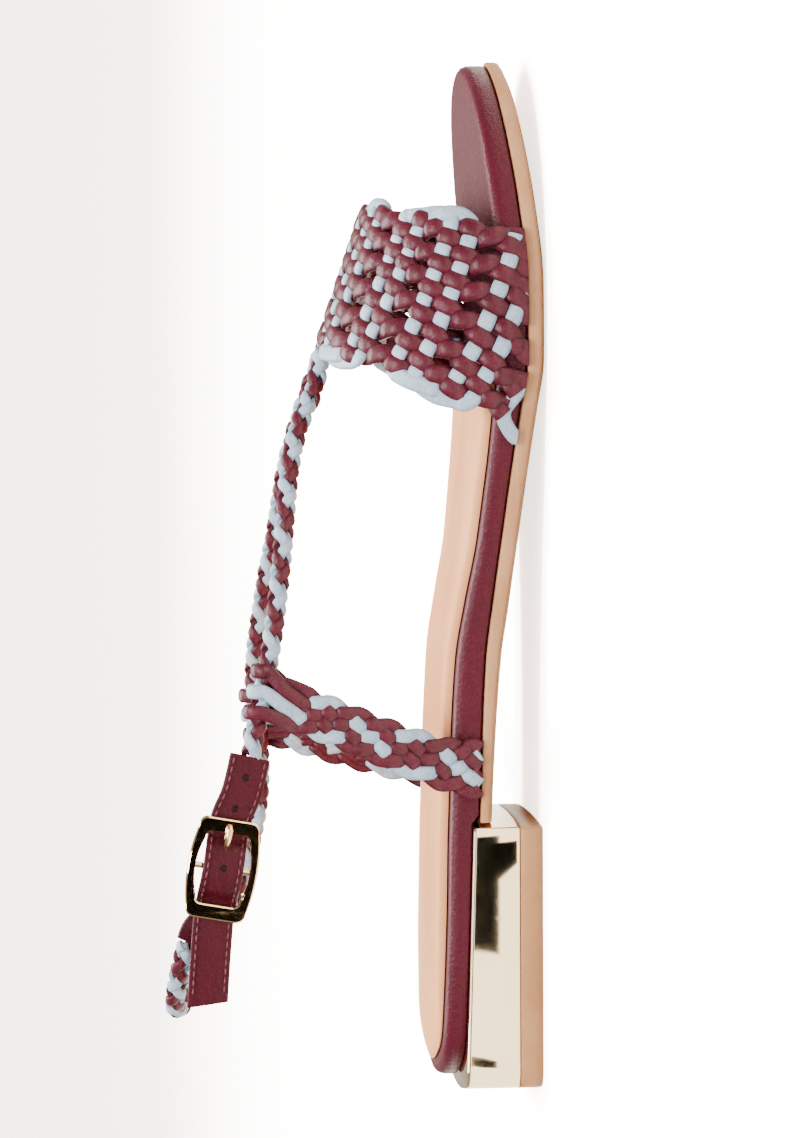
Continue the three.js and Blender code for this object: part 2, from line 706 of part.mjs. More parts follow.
// An elliptic sleeve round a braid, clear of its strands and grown by a wall
function sleeve(route, share, wall, width) {
  const { centre, along, outward, edgeways } = strapFrame(route, share, awayFromAnkle);
  const reachOut = braidWidth / 2 + strandRelief + loopRoom + wall;
  const reachEdge = braidHeight / 2 + strandRelief + loopRoom + wall;
  const sides = 14;
  const bandCount = 3;
  return toSolid(sweptSolid(route, 2 * bandCount, (k) => Array.from({ length: sides }, (_, i) => {
    const turn = (i * 2 * Math.PI) / sides;
    const ridge = wall > 0 ? strandRelief * Math.abs(Math.sin(k * bandCount * Math.PI)) : 0;
    return centre.clone()
      .addScaledVector(along, (k - 0.5) * width)
      .addScaledVector(outward, Math.cos(turn) * (reachOut + ridge))
      .addScaledVector(edgeways, Math.sin(turn) * (reachEdge + ridge));
  })));
}

const outerQuarter = quarterPlait(outerPlaitRows, false, outerBraidRoute, outerLoopPlace);
const innerQuarter = quarterPlait(innerPlaitRows, true, innerBraidRoute, innerLoopPlace);
addPiece('outer_quarter_strap', toGeometry(outerQuarter), 0x7a2636, 0.5, 0);
addPiece('inner_quarter_strap', toGeometry(innerQuarter), 0x7a2636, 0.5, 0);

// The buckle's own directions: along the strap to the back, across it, and outward
const buckleCentre = placed({ place: 0.2308, side: -0.4095, height: 0.87 });
const strapAlong = new THREE.Vector3(-0.982, 0.06, 0.172).normalize();
const strapOutward = new THREE.Vector3(0, -1, 0).addScaledVector(strapAlong, strapAlong.y).normalize();
const strapAcross = strapOutward.clone().cross(strapAlong);
const buckleSpace = new THREE.Matrix4()
  .makeBasis(strapAlong, strapAcross, strapOutward).setPosition(buckleCentre);
const onBuckle = (along, across, outward) => new THREE.Vector3(along, across, outward)
  .applyMatrix4(buckleSpace);

// Buckle frame: a barrel outline with a window and a pivot bar behind its middle
function barrel(halfLength, endHalf, middleHalf, corner) {
  const shape = new THREE.Path();
  const bulge = 2 * middleHalf - endHalf;
  shape.moveTo(-halfLength + corner, -endHalf);
  shape.quadraticCurveTo(0, -bulge, halfLength - corner, -endHalf);
  shape.quadraticCurveTo(halfLength, -endHalf, halfLength, -endHalf + corner);
  shape.lineTo(halfLength, endHalf - corner);
  shape.quadraticCurveTo(halfLength, endHalf, halfLength - corner, endHalf);
  shape.quadraticCurveTo(0, bulge, -halfLength + corner, endHalf);
  shape.quadraticCurveTo(-halfLength, endHalf, -halfLength, endHalf - corner);
  shape.lineTo(-halfLength, -endHalf + corner);
  shape.quadraticCurveTo(-halfLength, -endHalf, -halfLength + corner, -endHalf);
  return shape;
}

const windowHalf = buckleLength / 2 - buckleEndBar;
const pivotDepth = -(buckleThickness / 2 + pivotDrop);
const outlineShape = new THREE.Shape(
  barrel(buckleLength / 2, buckleEndWidth / 2, buckleMiddleWidth / 2, buckleCorner).getPoints(6));
const windowPath = barrel(windowHalf, buckleEndWidth / 2 - buckleSideBar,
  buckleMiddleWidth / 2 - buckleSideBar, windowCorner);
outlineShape.holes.push(new THREE.Path(windowPath.getPoints(6)));
const frameGeometry = new THREE.ExtrudeGeometry(outlineShape, {
  depth: buckleThickness, bevelEnabled: false,
});
frameGeometry.translate(0, 0, -buckleThickness / 2);
const pivot = new THREE.CylinderGeometry(pivotRadius, pivotRadius, buckleMiddleWidth - buckleSideBar, 10);
pivot.translate(0, 0, pivotDepth);
addPiece('buckle_frame',
  toGeometry(toSolid(frameGeometry).add(toSolid(pivot)).transform(buckleSpace.elements)), 0xd9b98a, 0.15, 1);

// A cylinder round the axis of the pivot bar
function onPivot(radius, width) {
  const cylinder = new THREE.CylinderGeometry(radius, radius, width, 12);
  cylinder.translate(0, 0, pivotDepth);
  return toSolid(cylinder).transform(buckleSpace.elements);
}

const pivotBore = onPivot(pivotRadius + clearance, 2 * chapeWidth);

// A flat leather strip along a route
function strip(route, steps, widthAt, thickness, outward) {
  return toSolid(sweptSolid(route, steps, (share) => {
    const directions = strapFrame(route, share, () => outward.clone());
    return [[-1, -1], [-1, 1], [1, 1], [1, -1]].map(([across, out]) => directions.centre.clone()
      .addScaledVector(directions.edgeways, (across * widthAt(share)) / 2)
      .addScaledVector(directions.outward, (out * thickness) / 2));
  }));
}

// Prong: a ring on the pivot and a pin through the tab, its tip on the front bar of the frame.
// Places are shares of the buckle's length, rises of the way from the pivot to the pin's tip
const prongRows = [
  { along: -0.052, rise: 0.22 },
  { along: -0.177, rise: 0.45 },
  { along: -0.298, rise: 0.97 },
  { along: -0.427, rise: 1.00 },
];
const prongTip = buckleThickness / 2 + prongRadius + 0.7 * clearance;
const prongRoute = curveThrough(prongRows.map((row) => onBuckle(
  row.along * buckleLength, 0, THREE.MathUtils.lerp(pivotDepth, prongTip, row.rise))));
const roundPin = (route, radius) => toSolid(sweptSolid(route, 6, (share) => {
  const directions = strapFrame(route, share, () => strapOutward.clone());
  return Array.from({ length: 8 }, (_, i) => directions.centre.clone()
    .addScaledVector(directions.outward, Math.cos((i * Math.PI) / 4) * radius)
    .addScaledVector(directions.edgeways, Math.sin((i * Math.PI) / 4) * radius));
}));
const prong = onPivot(pivotRadius + clearance + prongWall, 2 * prongRadius)
  .add(roundPin(prongRoute, prongRadius))
  .subtract(pivotBore);
addPiece('buckle_prong', toGeometry(prong), 0xd9b98a, 0.15, 1);

// Strap tab: sewn to the end of the outer braid; it runs under the front bar, over the pivot and
// under the back bar, and its tip is cut at an angle
const underBar = -(buckleThickness / 2 + clearance + tabThickness / 2);
const overPivot = pivotDepth + pivotRadius + chapeThickness + 3 * clearance + tabThickness / 2;
const tabStartRows = [
  { place: 0.3369, side: -0.3917, height: 0.7933 },
  { place: 0.3195, side: -0.3929, height: 0.8044 },
  { place: 0.2998, side: -0.3940, height: 0.8200 },
];
// Along, across and the drop toward the foot are shares of the buckle's length; over is the share
// of the way from under the bars to over the pivot
const tabRows = [
  { along: -0.484, across: 0, drop: 0, over: 0 },
  { along: -0.298, across: 0, drop: 0, over: 0 },
  { along: -0.145, across: 0, drop: 0, over: 0.79 },
  { along: 0, across: 0, drop: 0, over: 1 },
  { along: 0.145, across: 0, drop: 0, over: 0.79 },
  { along: 0.298, across: 0, drop: 0, over: 0 },
  { along: 0.484, across: 0, drop: 0, over: 0 },
  { along: 0.806, across: 0.028, drop: 0.020, over: 0 },
  { along: 1.129, across: 0.065, drop: 0.065, over: 0 },
  { along: 1.468, across: 0.105, drop: 0.129, over: 0 },
];
const tabRoute = curveThrough([
  ...tabStartRows.map(placed),
  ...tabRows.map((row) => onBuckle(row.along * buckleLength, row.across * buckleLength,
    THREE.MathUtils.lerp(underBar, overPivot, row.over) - row.drop * buckleLength)),
]);
const tabBlank = strip(tabRoute, 40, () => tabWidth, tabThickness, strapOutward);
const tipPlace = { along: 1.371 * buckleLength, across: 0.097 * buckleLength };
const tipCut = new THREE.BoxGeometry(buckleLength, 4 * tabWidth, 4 * tabWidth);
tipCut.translate(buckleLength / 2, 0, 0);
tipCut.rotateZ(Math.atan2(tabTipCut, tabWidth));
tipCut.applyMatrix4(new THREE.Matrix4().makeBasis(strapAlong, strapAcross, strapOutward)
  .setPosition(onBuckle(tipPlace.along, tipPlace.across, 0)));
const prongHole = roundPin(prongRoute, prongRadius + clearance);
addPiece('strap_tab', toGeometry(tabBlank.subtract(toSolid(tipCut)).subtract(prongHole)), 0x6e2332, 0.5, 0);

// Chape: a folded leather piece round the pivot, its tail sewn to the end of the inner braid
// Along and across are shares of the buckle's length, level the share of the way from the pivot
// to under the tab
const chapeRows = [
  { along: 0.024, across: 0, level: 0 },
  { along: 0.161, across: 0, level: 0.85 },
  { along: 0.363, across: 0, level: 1 },
  { along: 0.504, across: -0.032, level: 1.23 },
];
const chapeEndRows = [
  { place: 0.1720, side: -0.3440, height: 0.9400 },
  { place: 0.1602, side: -0.3238, height: 0.9556 },
];
const behindPivot = pivotDepth - pivotRadius - clearance - chapeThickness / 2;
const underTab = underBar - tabThickness / 2 - clearance - chapeThickness;
const chapeTail = curveThrough([
  ...chapeRows.map((row) => onBuckle(row.along * buckleLength, row.across * buckleLength,
    THREE.MathUtils.lerp(behindPivot, underTab, row.level))),
  ...chapeEndRows.map(placed),
]);
const tail = strip(chapeTail, 12, (share) => THREE.MathUtils.lerp(chapeWidth, chapeNarrowWidth, share),
  2 * chapeThickness, strapOutward);
const slotDepth = 2 * (pivotRadius + clearance + chapeThickness) + 2;
const prongSlot = new THREE.BoxGeometry(slotDepth, 2 * (prongRadius + clearance), slotDepth);
prongSlot.translate(-pivotRadius - clearance, 0, pivotDepth);
const chape = onPivot(pivotRadius + clearance + chapeThickness, chapeWidth)
  .add(tail)
  .subtract(toSolid(prongSlot).transform(buckleSpace.elements))
  .subtract(pivotBore);
addPiece('chape', toGeometry(chape), 0x6e2332, 0.5, 0);

// Stand the shoe on its origin: the middle of its footprint
group.updateMatrixWorld(true);
const extent = new THREE.Box3().setFromObject(group);
const middle = extent.getCenter(new THREE.Vector3());
group.position.set(-middle.x, -middle.y, -extent.min.z);

export default group;
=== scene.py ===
import math
import bmesh
import bpy
import numpy as np
from mathutils import Matrix, Vector


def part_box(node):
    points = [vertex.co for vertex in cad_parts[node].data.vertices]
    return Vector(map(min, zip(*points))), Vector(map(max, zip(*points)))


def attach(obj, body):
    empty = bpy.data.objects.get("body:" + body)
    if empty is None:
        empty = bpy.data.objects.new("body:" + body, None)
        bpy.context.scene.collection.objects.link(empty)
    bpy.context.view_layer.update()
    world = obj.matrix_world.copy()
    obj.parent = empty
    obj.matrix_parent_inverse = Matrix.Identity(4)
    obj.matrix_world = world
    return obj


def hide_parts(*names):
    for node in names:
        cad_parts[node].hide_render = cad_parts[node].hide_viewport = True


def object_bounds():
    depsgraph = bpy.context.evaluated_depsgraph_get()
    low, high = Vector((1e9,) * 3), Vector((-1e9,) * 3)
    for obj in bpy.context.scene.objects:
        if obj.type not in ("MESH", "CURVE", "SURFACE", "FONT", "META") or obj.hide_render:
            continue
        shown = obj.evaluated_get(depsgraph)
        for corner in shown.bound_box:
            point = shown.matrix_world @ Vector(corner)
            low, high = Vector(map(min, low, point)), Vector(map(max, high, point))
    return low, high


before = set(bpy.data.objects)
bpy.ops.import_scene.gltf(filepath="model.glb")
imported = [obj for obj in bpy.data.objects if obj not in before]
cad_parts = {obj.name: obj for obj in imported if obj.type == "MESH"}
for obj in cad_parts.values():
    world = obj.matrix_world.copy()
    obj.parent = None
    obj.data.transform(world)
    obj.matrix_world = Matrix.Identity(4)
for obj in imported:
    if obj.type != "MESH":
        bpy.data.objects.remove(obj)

cad_low, cad_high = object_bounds()

# Outsole
# A thin tan leather sole from the toe to the front of the heel. It is cut from sheet, skived to a
# bevel underneath, and glued to the footbed; its cut edge is sanded and waxed.
# all sizes are millimetres: x from the back of the heel, y from its middle, z from the floor
shoe_length = 253.5
ball_width = 84.0
outline_rows = [
    (0.018, 0.145, 0.145), (0.045, 0.265, 0.265), (0.105, 0.308, 0.308), (0.200, 0.319, 0.314),
    (0.300, 0.321, 0.305), (0.400, 0.330, 0.300), (0.510, 0.366, 0.330), (0.620, 0.432, 0.405),
    (0.735, 0.472, 0.488), (0.825, 0.445, 0.528), (0.890, 0.372, 0.512), (0.945, 0.245, 0.440),
    (0.982, 0.090, 0.310),
]  # place, outer side, inner side
sole_rows = [
    (0, 1, 0.76, 0.91, 0.25), (0.08, 0.967, 0.76, 0.91, 0.72), (0.18, 0.9, 0.76, 0.97, 1),
    (0.265, 0.844, 0.76, 1.06, 1), (0.34, 0.811, 0.82, 1.06, 1), (0.425, 0.761, 0.94, 1.02, 1),
    (0.48, 0.672, 1, 0.93, 1), (0.54, 0.567, 1, 0.8, 1), (0.605, 0.456, 1, 0.82, 1),
    (0.665, 0.339, 1, 0.93, 1), (0.71, 0.2556, 1, 1, 1), (0.785, 0.2556, 1, 1, 1),
    (0.863, 0.344, 1, 1, 1), (0.92, 0.433, 1, 0.96, 1), (1, 0.556, 1, 0.93, 1),
]  # place, height of the seam, outsole, footbed board, padding
seat_back_height = 18.0
outsole_edge, outsole_bevel, bevel_width = 2.8, 1.8, 9.0
heel_length, heel_width = 66.8, 54.0
breast = heel_length + 1.1

shift = np.array([cad_high.x * 1000 - shoe_length,
                  500 * (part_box("heel_lift")[0].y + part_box("heel_lift")[1].y), 0.0])


def through(column, x):
    """A smooth curve through a column of the sole's table that never overshoots it."""
    at = np.array([row[0] for row in sole_rows])
    value = np.array([row[column] for row in sole_rows])
    rise = np.diff(value) / np.diff(at)
    slope = np.r_[rise[0], np.zeros(len(at) - 2), rise[-1]]
    both = rise[:-1] * rise[1:] > 0
    slope[1:-1][both] = (2 * rise[:-1] * rise[1:])[both] / (rise[:-1] + rise[1:])[both]
    x = np.clip(np.asarray(x, float) / shoe_length, 0, 1)
    i = np.clip(np.searchsorted(at, x) - 1, 0, len(at) - 2)
    step = at[i + 1] - at[i]
    t = (x - at[i]) / step
    return (value[i] * (2 * t**3 - 3 * t**2 + 1) + value[i + 1] * (3 * t**2 - 2 * t**3)
            + step * (slope[i] * (t**3 - 2 * t**2 + t) + slope[i + 1] * (t**3 - t**2)))


def smooth_run(knots, count, closed=False):
    """Points of a smooth curve through knots, evenly spaced in the knots' own steps."""
    knots = np.asarray(knots, float)
    total = len(knots)
    made = []
    for place in np.linspace(0, total if closed else total - 1, count, endpoint=not closed):
        i = min(int(place), total - 1 if closed else total - 2)
        part = place - i
        if closed:
            a, b, c, d = (knots[(i + j) % total] for j in (-1, 0, 1, 2))
        else:
            b, c = knots[i], knots[i + 1]
            a = knots[i - 1] if i > 0 else 2 * b - c
            d = knots[i + 2] if i + 2 < total else 2 * c - b
        d0, d1, d2 = (max(np.sum((q - p) ** 2) ** 0.25, 1e-4) for p, q in ((a, b), (b, c), (c, d)))
        t1 = ((b - a) / d0 - (c - a) / (d0 + d1) + (c - b) / d1) * d1
        t2 = ((c - b) / d1 - (d - b) / (d1 + d2) + (d - c) / d2) * d1
        made.append(b + t1 * part + (-3 * b + 3 * c - 2 * t1 - t2) * part**2
                    + (2 * b - 2 * c + t1 + t2) * part**3)
    return np.array(made)


ring_size = 28 * 12
outline = smooth_run(
    [(1.6, 0.0)] + [(p * shoe_length, -o * ball_width) for p, o, _ in outline_rows]
    + [(shoe_length, 0.1 * ball_width)]
    + [(p * shoe_length, i * ball_width) for p, _, i in reversed(outline_rows)], ring_size, True)
outer_side = outline[:ring_size // 2 + 1]
inner_side = np.vstack([outline[ring_size // 2:], outline[:1]])[::-1]


def side_at(x, inner):
    """The sole's edge at a place along the shoe, on its outer or its inner side."""
    side = inner_side if inner else outer_side
    return np.interp(x, side[:, 0], side[:, 1])


def seam_height(x):
    return seat_back_height * through(1, x)


def outsole_top(x, y):
    return seam_height(x)


def outsole_bottom(x, y):
    return seam_height(x) - (outsole_edge + outsole_bevel) * through(2, x)


def grid_faces(rows, ring, closed=True):
    """Faces between rings of points that lie one after another."""
    last = ring if closed else ring - 1
    return [(r * ring + i, r * ring + (i + 1) % ring, (r + 1) * ring + (i + 1) % ring,
             (r + 1) * ring + i) for r in range(rows - 1) for i in range(last)]


def sole_layer(edge_rows, rungs=24):
    """A layer with the sole's outline: rings round its edge, then rungs across both its faces.
    An edge row is the way in from the outline, the surface it lies on and its rise over that."""
    ahead = np.roll(outline, -1, 0) - np.roll(outline, 1, 0)
    ahead /= np.linalg.norm(ahead, axis=1)[:, None]
    inward = np.stack([-ahead[:, 1], ahead[:, 0]], 1)
    points = []
    for inset, surface, rise in edge_rows:
        flat = outline + inward * inset
        points.append(np.c_[flat, surface(flat[:, 0], flat[:, 1]) + rise])
    points = np.vstack(points)
    faces = grid_faces(len(edge_rows), ring_size)
    for start, (inset, surface, rise) in ((0, edge_rows[0]),
                                          (ring_size * (len(edge_rows) - 1), edge_rows[-1])):
        half = ring_size // 2
        outer = start + np.arange(half + 1)
        inner = start + (ring_size - np.arange(half + 1)) % ring_size
        share = np.arange(1, rungs)[None, :, None] / rungs
        between = points[outer][1:-1, None] * (1 - share) + points[inner][1:-1, None] * share
        between[..., 2] = surface(between[..., 0], between[..., 1]) + rise
        first = len(points)
        points = np.vstack([points, between.reshape(-1, 3)])
        made = first + np.arange((half - 1) * (rungs - 1)).reshape(half - 1, rungs - 1)
        ladder = np.hstack([outer[1:-1, None], made, inner[1:-1, None]])
        for i in range(half - 2):
            for k in range(rungs):
                here, ahead = ladder[i], ladder[i + 1]
                faces.append((here[k], ahead[k], ahead[k + 1], here[k + 1]))
        for end, rung in ((outer[0], ladder[0]), (outer[-1], ladder[-1])):
            faces += [(end, rung[k], rung[k + 1]) for k in range(rungs)]
    return points, faces


def add_piece(name, points, faces, finish, node=None, marks=None, cut=None, sharp=35):
    """A piece from points in millimetres. Cut planes are a point and the direction taken away."""
    mesh = bpy.data.meshes.new(name)
    mesh.from_pydata(((np.asarray(points) + shift) / 1000).tolist(), [],
                     [tuple(int(i) for i in f) for f in faces])
    for mark, values in (marks or {}).items():
        mesh.attributes.new(mark, "FLOAT", "POINT").data.foreach_set(
            "value", np.asarray(values, np.float32))
    shape = bmesh.new()
    shape.from_mesh(mesh)
    for place, away in cut or ():
        where = Vector((np.asarray(place) + shift) / 1000)
        kept = bmesh.ops.bisect_plane(shape, geom=shape.verts[:] + shape.edges[:] + shape.faces[:],
                                      plane_co=where, plane_no=Vector(away), clear_outer=True)
        edges = [g for g in kept["geom_cut"] if isinstance(g, bmesh.types.BMEdge)]
        bmesh.ops.contextual_create(shape, geom=edges)
    bmesh.ops.recalc_face_normals(shape, faces=shape.faces)
    for face in shape.faces:
        face.smooth = True
    for edge in shape.edges:
        edge.smooth = len(edge.link_faces) < 2 or edge.calc_face_angle(0) < math.radians(sharp)
    shape.to_mesh(mesh)
    shape.free()
    made = bpy.data.objects.new(name, mesh)
    bpy.context.scene.collection.objects.link(made)
    made.data.materials.append(finish)
    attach(made, "root")
    if node:
        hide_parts(node)
    return made


class Shade:
    """A value or colour on a surface. Sums on shades add the nodes that work them out."""

    def __init__(self, tree, socket=None):
        self.tree = tree
        self.socket = socket

    def node(self, kind, settings=None, values=None, out=0):
        made = self.tree.nodes.new("ShaderNode" + kind)
        for key, value in (settings or {}).items():
            setattr(made, key, value)
        for key, value in (values or {}).items():
            if isinstance(value, Shade):
                self.tree.links.new(made.inputs[key], value.socket)
            else:
                made.inputs[key].default_value = value
        return Shade(self.tree, made.outputs[out])

    def sum(self, operation, *terms):
        return self.node("Math", {"operation": operation}, dict(enumerate(terms)))

    def __add__(self, other):
        return self.sum("ADD", self, other)

    def __sub__(self, other):
        return self.sum("SUBTRACT", self, other)

    def __rsub__(self, other):
        return self.sum("SUBTRACT", other, self)

    def __mul__(self, other):
        return self.sum("MULTIPLY", self, other)

    __radd__, __rmul__ = __add__, __mul__

    def ramp(self, low, high, to_low=0.0, to_high=1.0):
        """From one value to another as this value goes from low to high, smoothly."""
        return self.node("MapRange", {"interpolation_type": "SMOOTHSTEP"}, {
            "Value": self, "From Min": low, "From Max": high, "To Min": to_low, "To Max": to_high})

    def mix(self, first, second):
        """The first colour where this value is 0, the second where it is 1."""
        colours = [c if isinstance(c, Shade) else (*c, 1) for c in (first, second)]
        return self.node("Mix", {"data_type": "RGBA"}, {0: self, 6: colours[0], 7: colours[1]}, 2)


def noise(place, scale, detail=3.0, roughness=0.55):
    return place.node("TexNoise", None, {"Vector": place, "Scale": scale, "Detail": detail,
                                         "Roughness": roughness})


def stretched(place, x=1.0, y=1.0, z=1.0):
    return place.node("VectorMath", {"operation": "MULTIPLY"}, {0: place, 1: (x, y, z)})


def pebbles(place, scale, rough=0.0):
    """Leather grain: rounded cells with creases between them."""
    cells = place.node("TexVoronoi", {"feature": "SMOOTH_F1"},
                       {"Vector": place, "Scale": scale, "Smoothness": 0.35, "Randomness": 1.0})
    return 1 - cells


def new_finish(name):
    """A material, its empty start and the place on the piece, in metres."""
    made = bpy.data.materials.new(name)
    made.use_nodes = True
    start = Shade(made.node_tree)
    place = start.node("TexCoord", None, None, "Object")
    return made, start, place


def set_finish(made, colour, roughness, height=None, depth=0.0002, strength=1.0, **constants):
    """Links what varies to the surface shader and sets the rest on its own sockets."""
    tree = made.node_tree
    shader = tree.nodes["Principled BSDF"]
    start = Shade(tree)
    if height is not None:
        constants["Normal"] = start.node("Bump", None, {
            "Height": height, "Distance": depth, "Strength": strength})
    for key, value in {"Base Color": colour, "Roughness": roughness, **constants}.items():
        if isinstance(value, Shade):
            tree.links.new(shader.inputs[key], value.socket)
        else:
            shader.inputs[key].default_value = value
    return made


def tan_edge_finish():
    """Sanded and waxed leather: fine fibres along the edge, a few darker rubs."""
    made, start, place = new_finish("outsole_tan")
    fibres = noise(stretched(place, 90, 90, 1400), 1.0, 4, 0.6)
    cloud = noise(place, 45, 3)
    colour = cloud.ramp(0.35, 0.7).mix((0.60, 0.27, 0.12), (0.72, 0.36, 0.175))
    colour = (fibres.ramp(0.45, 0.75) * 0.35).mix(colour, (0.80, 0.44, 0.24))
    return set_finish(made, colour, 0.42 + 0.2 * fibres, fibres, 0.00012, 0.5,
                      **{"Specular IOR Level": 0.2})


outsole_tan = tan_edge_finish()
points, faces = sole_layer([
    (bevel_width, outsole_bottom, 0.0), (3.0, outsole_bottom, outsole_bevel - 1.25),
    (0.8, outsole_bottom, outsole_bevel - 0.45), (0.15, outsole_bottom, outsole_bevel - 0.05),
    (0.0, outsole_bottom, outsole_bevel + 0.5), (0.0, outsole_top, -0.5), (0.2, outsole_top, -0.12),
    (0.6, outsole_top, 0.0)])
add_piece("outsole_board", points, faces, outsole_tan, "outsole",
          cut=[((breast, 0, 0), (-1, 0, 0))])

# Heel lift
# A tan top piece of hard leather board under the heel block, cut to the block's plan with its
# edges lightly broken, and waxed to a satin.
heel_corner, heel_back_bulge, heel_breast_bulge = 5.5, 2.6, 0.8


def bend(a, b, c, count):
    """Points of an arc from a to c that leans toward b."""
    t = np.linspace(0, 1, count, endpoint=False)[:, None]
    a, b, c = map(np.array, (a, b, c))
    return (1 - t) ** 2 * a + 2 * t * (1 - t) * b + t**2 * c


def line(a, b, count):
    a, b = np.array(a), np.array(b)
    return a + np.linspace(0, 1, count, endpoint=False)[:, None] * (b - a)


def heel_plan(inset):
    """The nearly square plan of the heel, moved inward."""
    half, back, r, front, soft = heel_width / 2, heel_back_bulge, heel_corner, heel_length, 1.2
    run = np.vstack([
        bend((front, -half + soft), (front + 2 * heel_breast_bulge, 0), (front, half - soft), 24),
        bend((front, half - soft), (front, half), (front - soft, half), 5),
        line((front - soft, half), (back + r, half), 16),
        bend((back + r, half), (back, half), (back - r * 0.08, half - r), 12),
        bend((back - r * 0.08, half - r), (-back, 0), (back - r * 0.08, r - half), 24),
        bend((back - r * 0.08, r - half), (back, -half), (back + r, -half), 12),
        line((back + r, -half), (front - soft, -half), 16),
        bend((front - soft, -half), (front, -half), (front, -half + soft), 5),
    ])
    ahead = np.roll(run, -1, 0) - np.roll(run, 1, 0)
    ahead /= np.linalg.norm(ahead, axis=1)[:, None]
    return run + np.stack([-ahead[:, 1], ahead[:, 0]], 1) * inset


def heel_top(x):
    return 18.9 - 1.9 * x / heel_length


def heel_part(rows):
    """Rings of the heel's plan, each a way inward and a height, closed by a face at both ends."""
    rings = []
    for inset, height in rows:
        flat = heel_plan(inset)
        rings.append(np.c_[flat, height(flat[:, 0]) if callable(height) else
                           np.full(len(flat), height)])
    ring = len(rings[0])
    faces = grid_faces(len(rows), ring)
    faces += [tuple(range(ring)), tuple(range(ring * (len(rows) - 1), ring * len(rows)))]
    return np.vstack(rings), faces


def lift_finish():
    made, start, place = new_finish("lift_tan")
    layers = noise(stretched(place, 60, 60, 900), 1.0, 4, 0.6)
    cloud = noise(place, 60, 4)
    colour = cloud.ramp(0.3, 0.75).mix((0.55, 0.25, 0.10), (0.66, 0.33, 0.15))
    return set_finish(made, colour, 0.30 + 0.2 * layers, layers, 0.0001, 0.4,
                      **{"Specular IOR Level": 0.2, "Coat Weight": 0.08, "Coat Roughness": 0.25})


points, faces = heel_part([(0.7, 0.0), (0.2, 0.15), (0.0, 0.6), (0.0, 5.1), (0.25, 5.5)])
add_piece("heel_lift_board", points, faces, lift_finish(), "heel_lift")

# Heel block
# A block wrapped in a mirror-bright pale gold film. Its faces are flat, its vertical corners
# round and its edges drawn in; it stands on the lift and carries the footbed.


def mirror_finish(name, colour, roughness, waves=1.0):
    made, start, place = new_finish(name)
    ripple = noise(place, 26, 2)
    fine = noise(place, 900, 3)
    rub = noise(stretched(place, 300, 300, 60), 1.0, 4).ramp(0.58, 0.8)
    tone = noise(place, 70, 2).mix(colour, tuple(0.88 * c for c in colour))
    return set_finish(made, tone, roughness + 0.03 * fine + 0.08 * rub,
                      waves * ripple + 0.02 * fine, 0.0004, 0.08, Metallic=1.0)


points, faces = heel_part([
    (0.3, 5.65), (0.07, 5.8), (0.0, 6.05), (0.0, 6.4), (0.0, lambda x: heel_top(x) - 0.9),
    (0.0, lambda x: heel_top(x) - 0.5), (0.12, lambda x: heel_top(x) - 0.18), (0.5, heel_top)])
add_piece("heel_block_film", points, faces, mirror_finish("heel_gold", (0.90, 0.70, 0.45), 0.03),
          "heel_block", sharp=30)

# Footbed
# A board wrapped in burgundy leather. The leather is drawn over a rounded edge and turned under;
# it shows as the rim round the insole and as the open platform at the toe.
clearance = 0.3
footbed_thickness, footbed_inset = 6.5, 0.9
inner_bank = 1.1


def bank(x, y):
    outer, inner = side_at(x, False), side_at(x, True)
    return inner_bank * np.clip((y - outer) / np.maximum(inner - outer, 1), 0, 1)


def footbed_bottom(x, y):
    return np.where(x < breast, heel_top(x) - 0.25, seam_height(x)) + clearance


def footbed_top(x, y):
    return seam_height(x) + clearance + footbed_thickness * through(3, x) + bank(x, y)


def leather_finish(name, light, dark, shine, painted_holes=()):
    """Dyed leather with a pebble grain: creases darkened with painted shade, high spots a little
    glossier. Painted holes are the middles of round holes, each a dark spot of painted shade
    sunk in the bump."""
    made, start, place = new_finish(name)
    cells = pebbles(place, 1500)
    coarse = pebbles(stretched(place, 1, 1.3, 1), 630)
    cloud = noise(place, 55, 4, 0.6)
    fine = noise(place, 4200, 3, 0.7)
    grain_height = 0.62 * cells + 0.38 * coarse
    colour = cloud.ramp(0.32, 0.7).mix(dark, light)
    # painted shade: the grain's creases are darkened toward the dark colour
    colour = (grain_height.ramp(0.25, 0.7, 0.28, 0.0)).mix(colour, tuple(0.45 * c for c in dark))
    # painted shade: each hole is a dark spot on the leather with a dip in the bump, not a cut
    for hole in painted_holes:
        near = place.node("VectorMath", {"operation": "DISTANCE"}, {
            0: place, 1: tuple((hole + shift) / 1000)}, "Value").ramp(0.00062, 0.00098, 1.0, 0.0)
        colour = near.mix(colour, tuple(0.1 * c for c in dark))
        grain_height = grain_height - 3.0 * near
    return set_finish(made, colour, shine + 0.18 * cloud - 0.12 * grain_height.ramp(0.4, 0.9),
                      grain_height + 0.12 * fine, 0.00022, 0.75,
                      **{"Specular IOR Level": 0.16})


burgundy_light, burgundy_dark = (0.100, 0.0078, 0.020), (0.088, 0.0066, 0.017)
points, faces = sole_layer([
    (2.6, footbed_bottom, 0.0), (1.5, footbed_bottom, 0.08), (1.05, footbed_bottom, 0.4),
    (footbed_inset, footbed_bottom, 0.9), (footbed_inset, footbed_top, -2.9),
    (1.0, footbed_top, -1.9), (1.35, footbed_top, -1.05), (1.95, footbed_top, -0.45),
    (2.75, footbed_top, -0.1), (3.6, footbed_top, 0.0), (4.6, footbed_top, 0.0),
    (7.0, footbed_top, 0.0)])
add_piece("footbed_wrap", points, faces,
          leather_finish("footbed_leather", burgundy_light, burgundy_dark, 0.34),
          "footbed")

# Insole
# A padded sock of undyed leather on a thin foam, glued to the footbed inside its rim. Its edge is
# pressed down into a groove, so that the pad stands up round behind it.
insole_inset, insole_thickness = 4.8, 2.2


def insole_foot(x, y):
    return footbed_top(x, y) + clearance


def insole_top(x, y):
    return insole_foot(x, y) + insole_thickness * through(4, x)


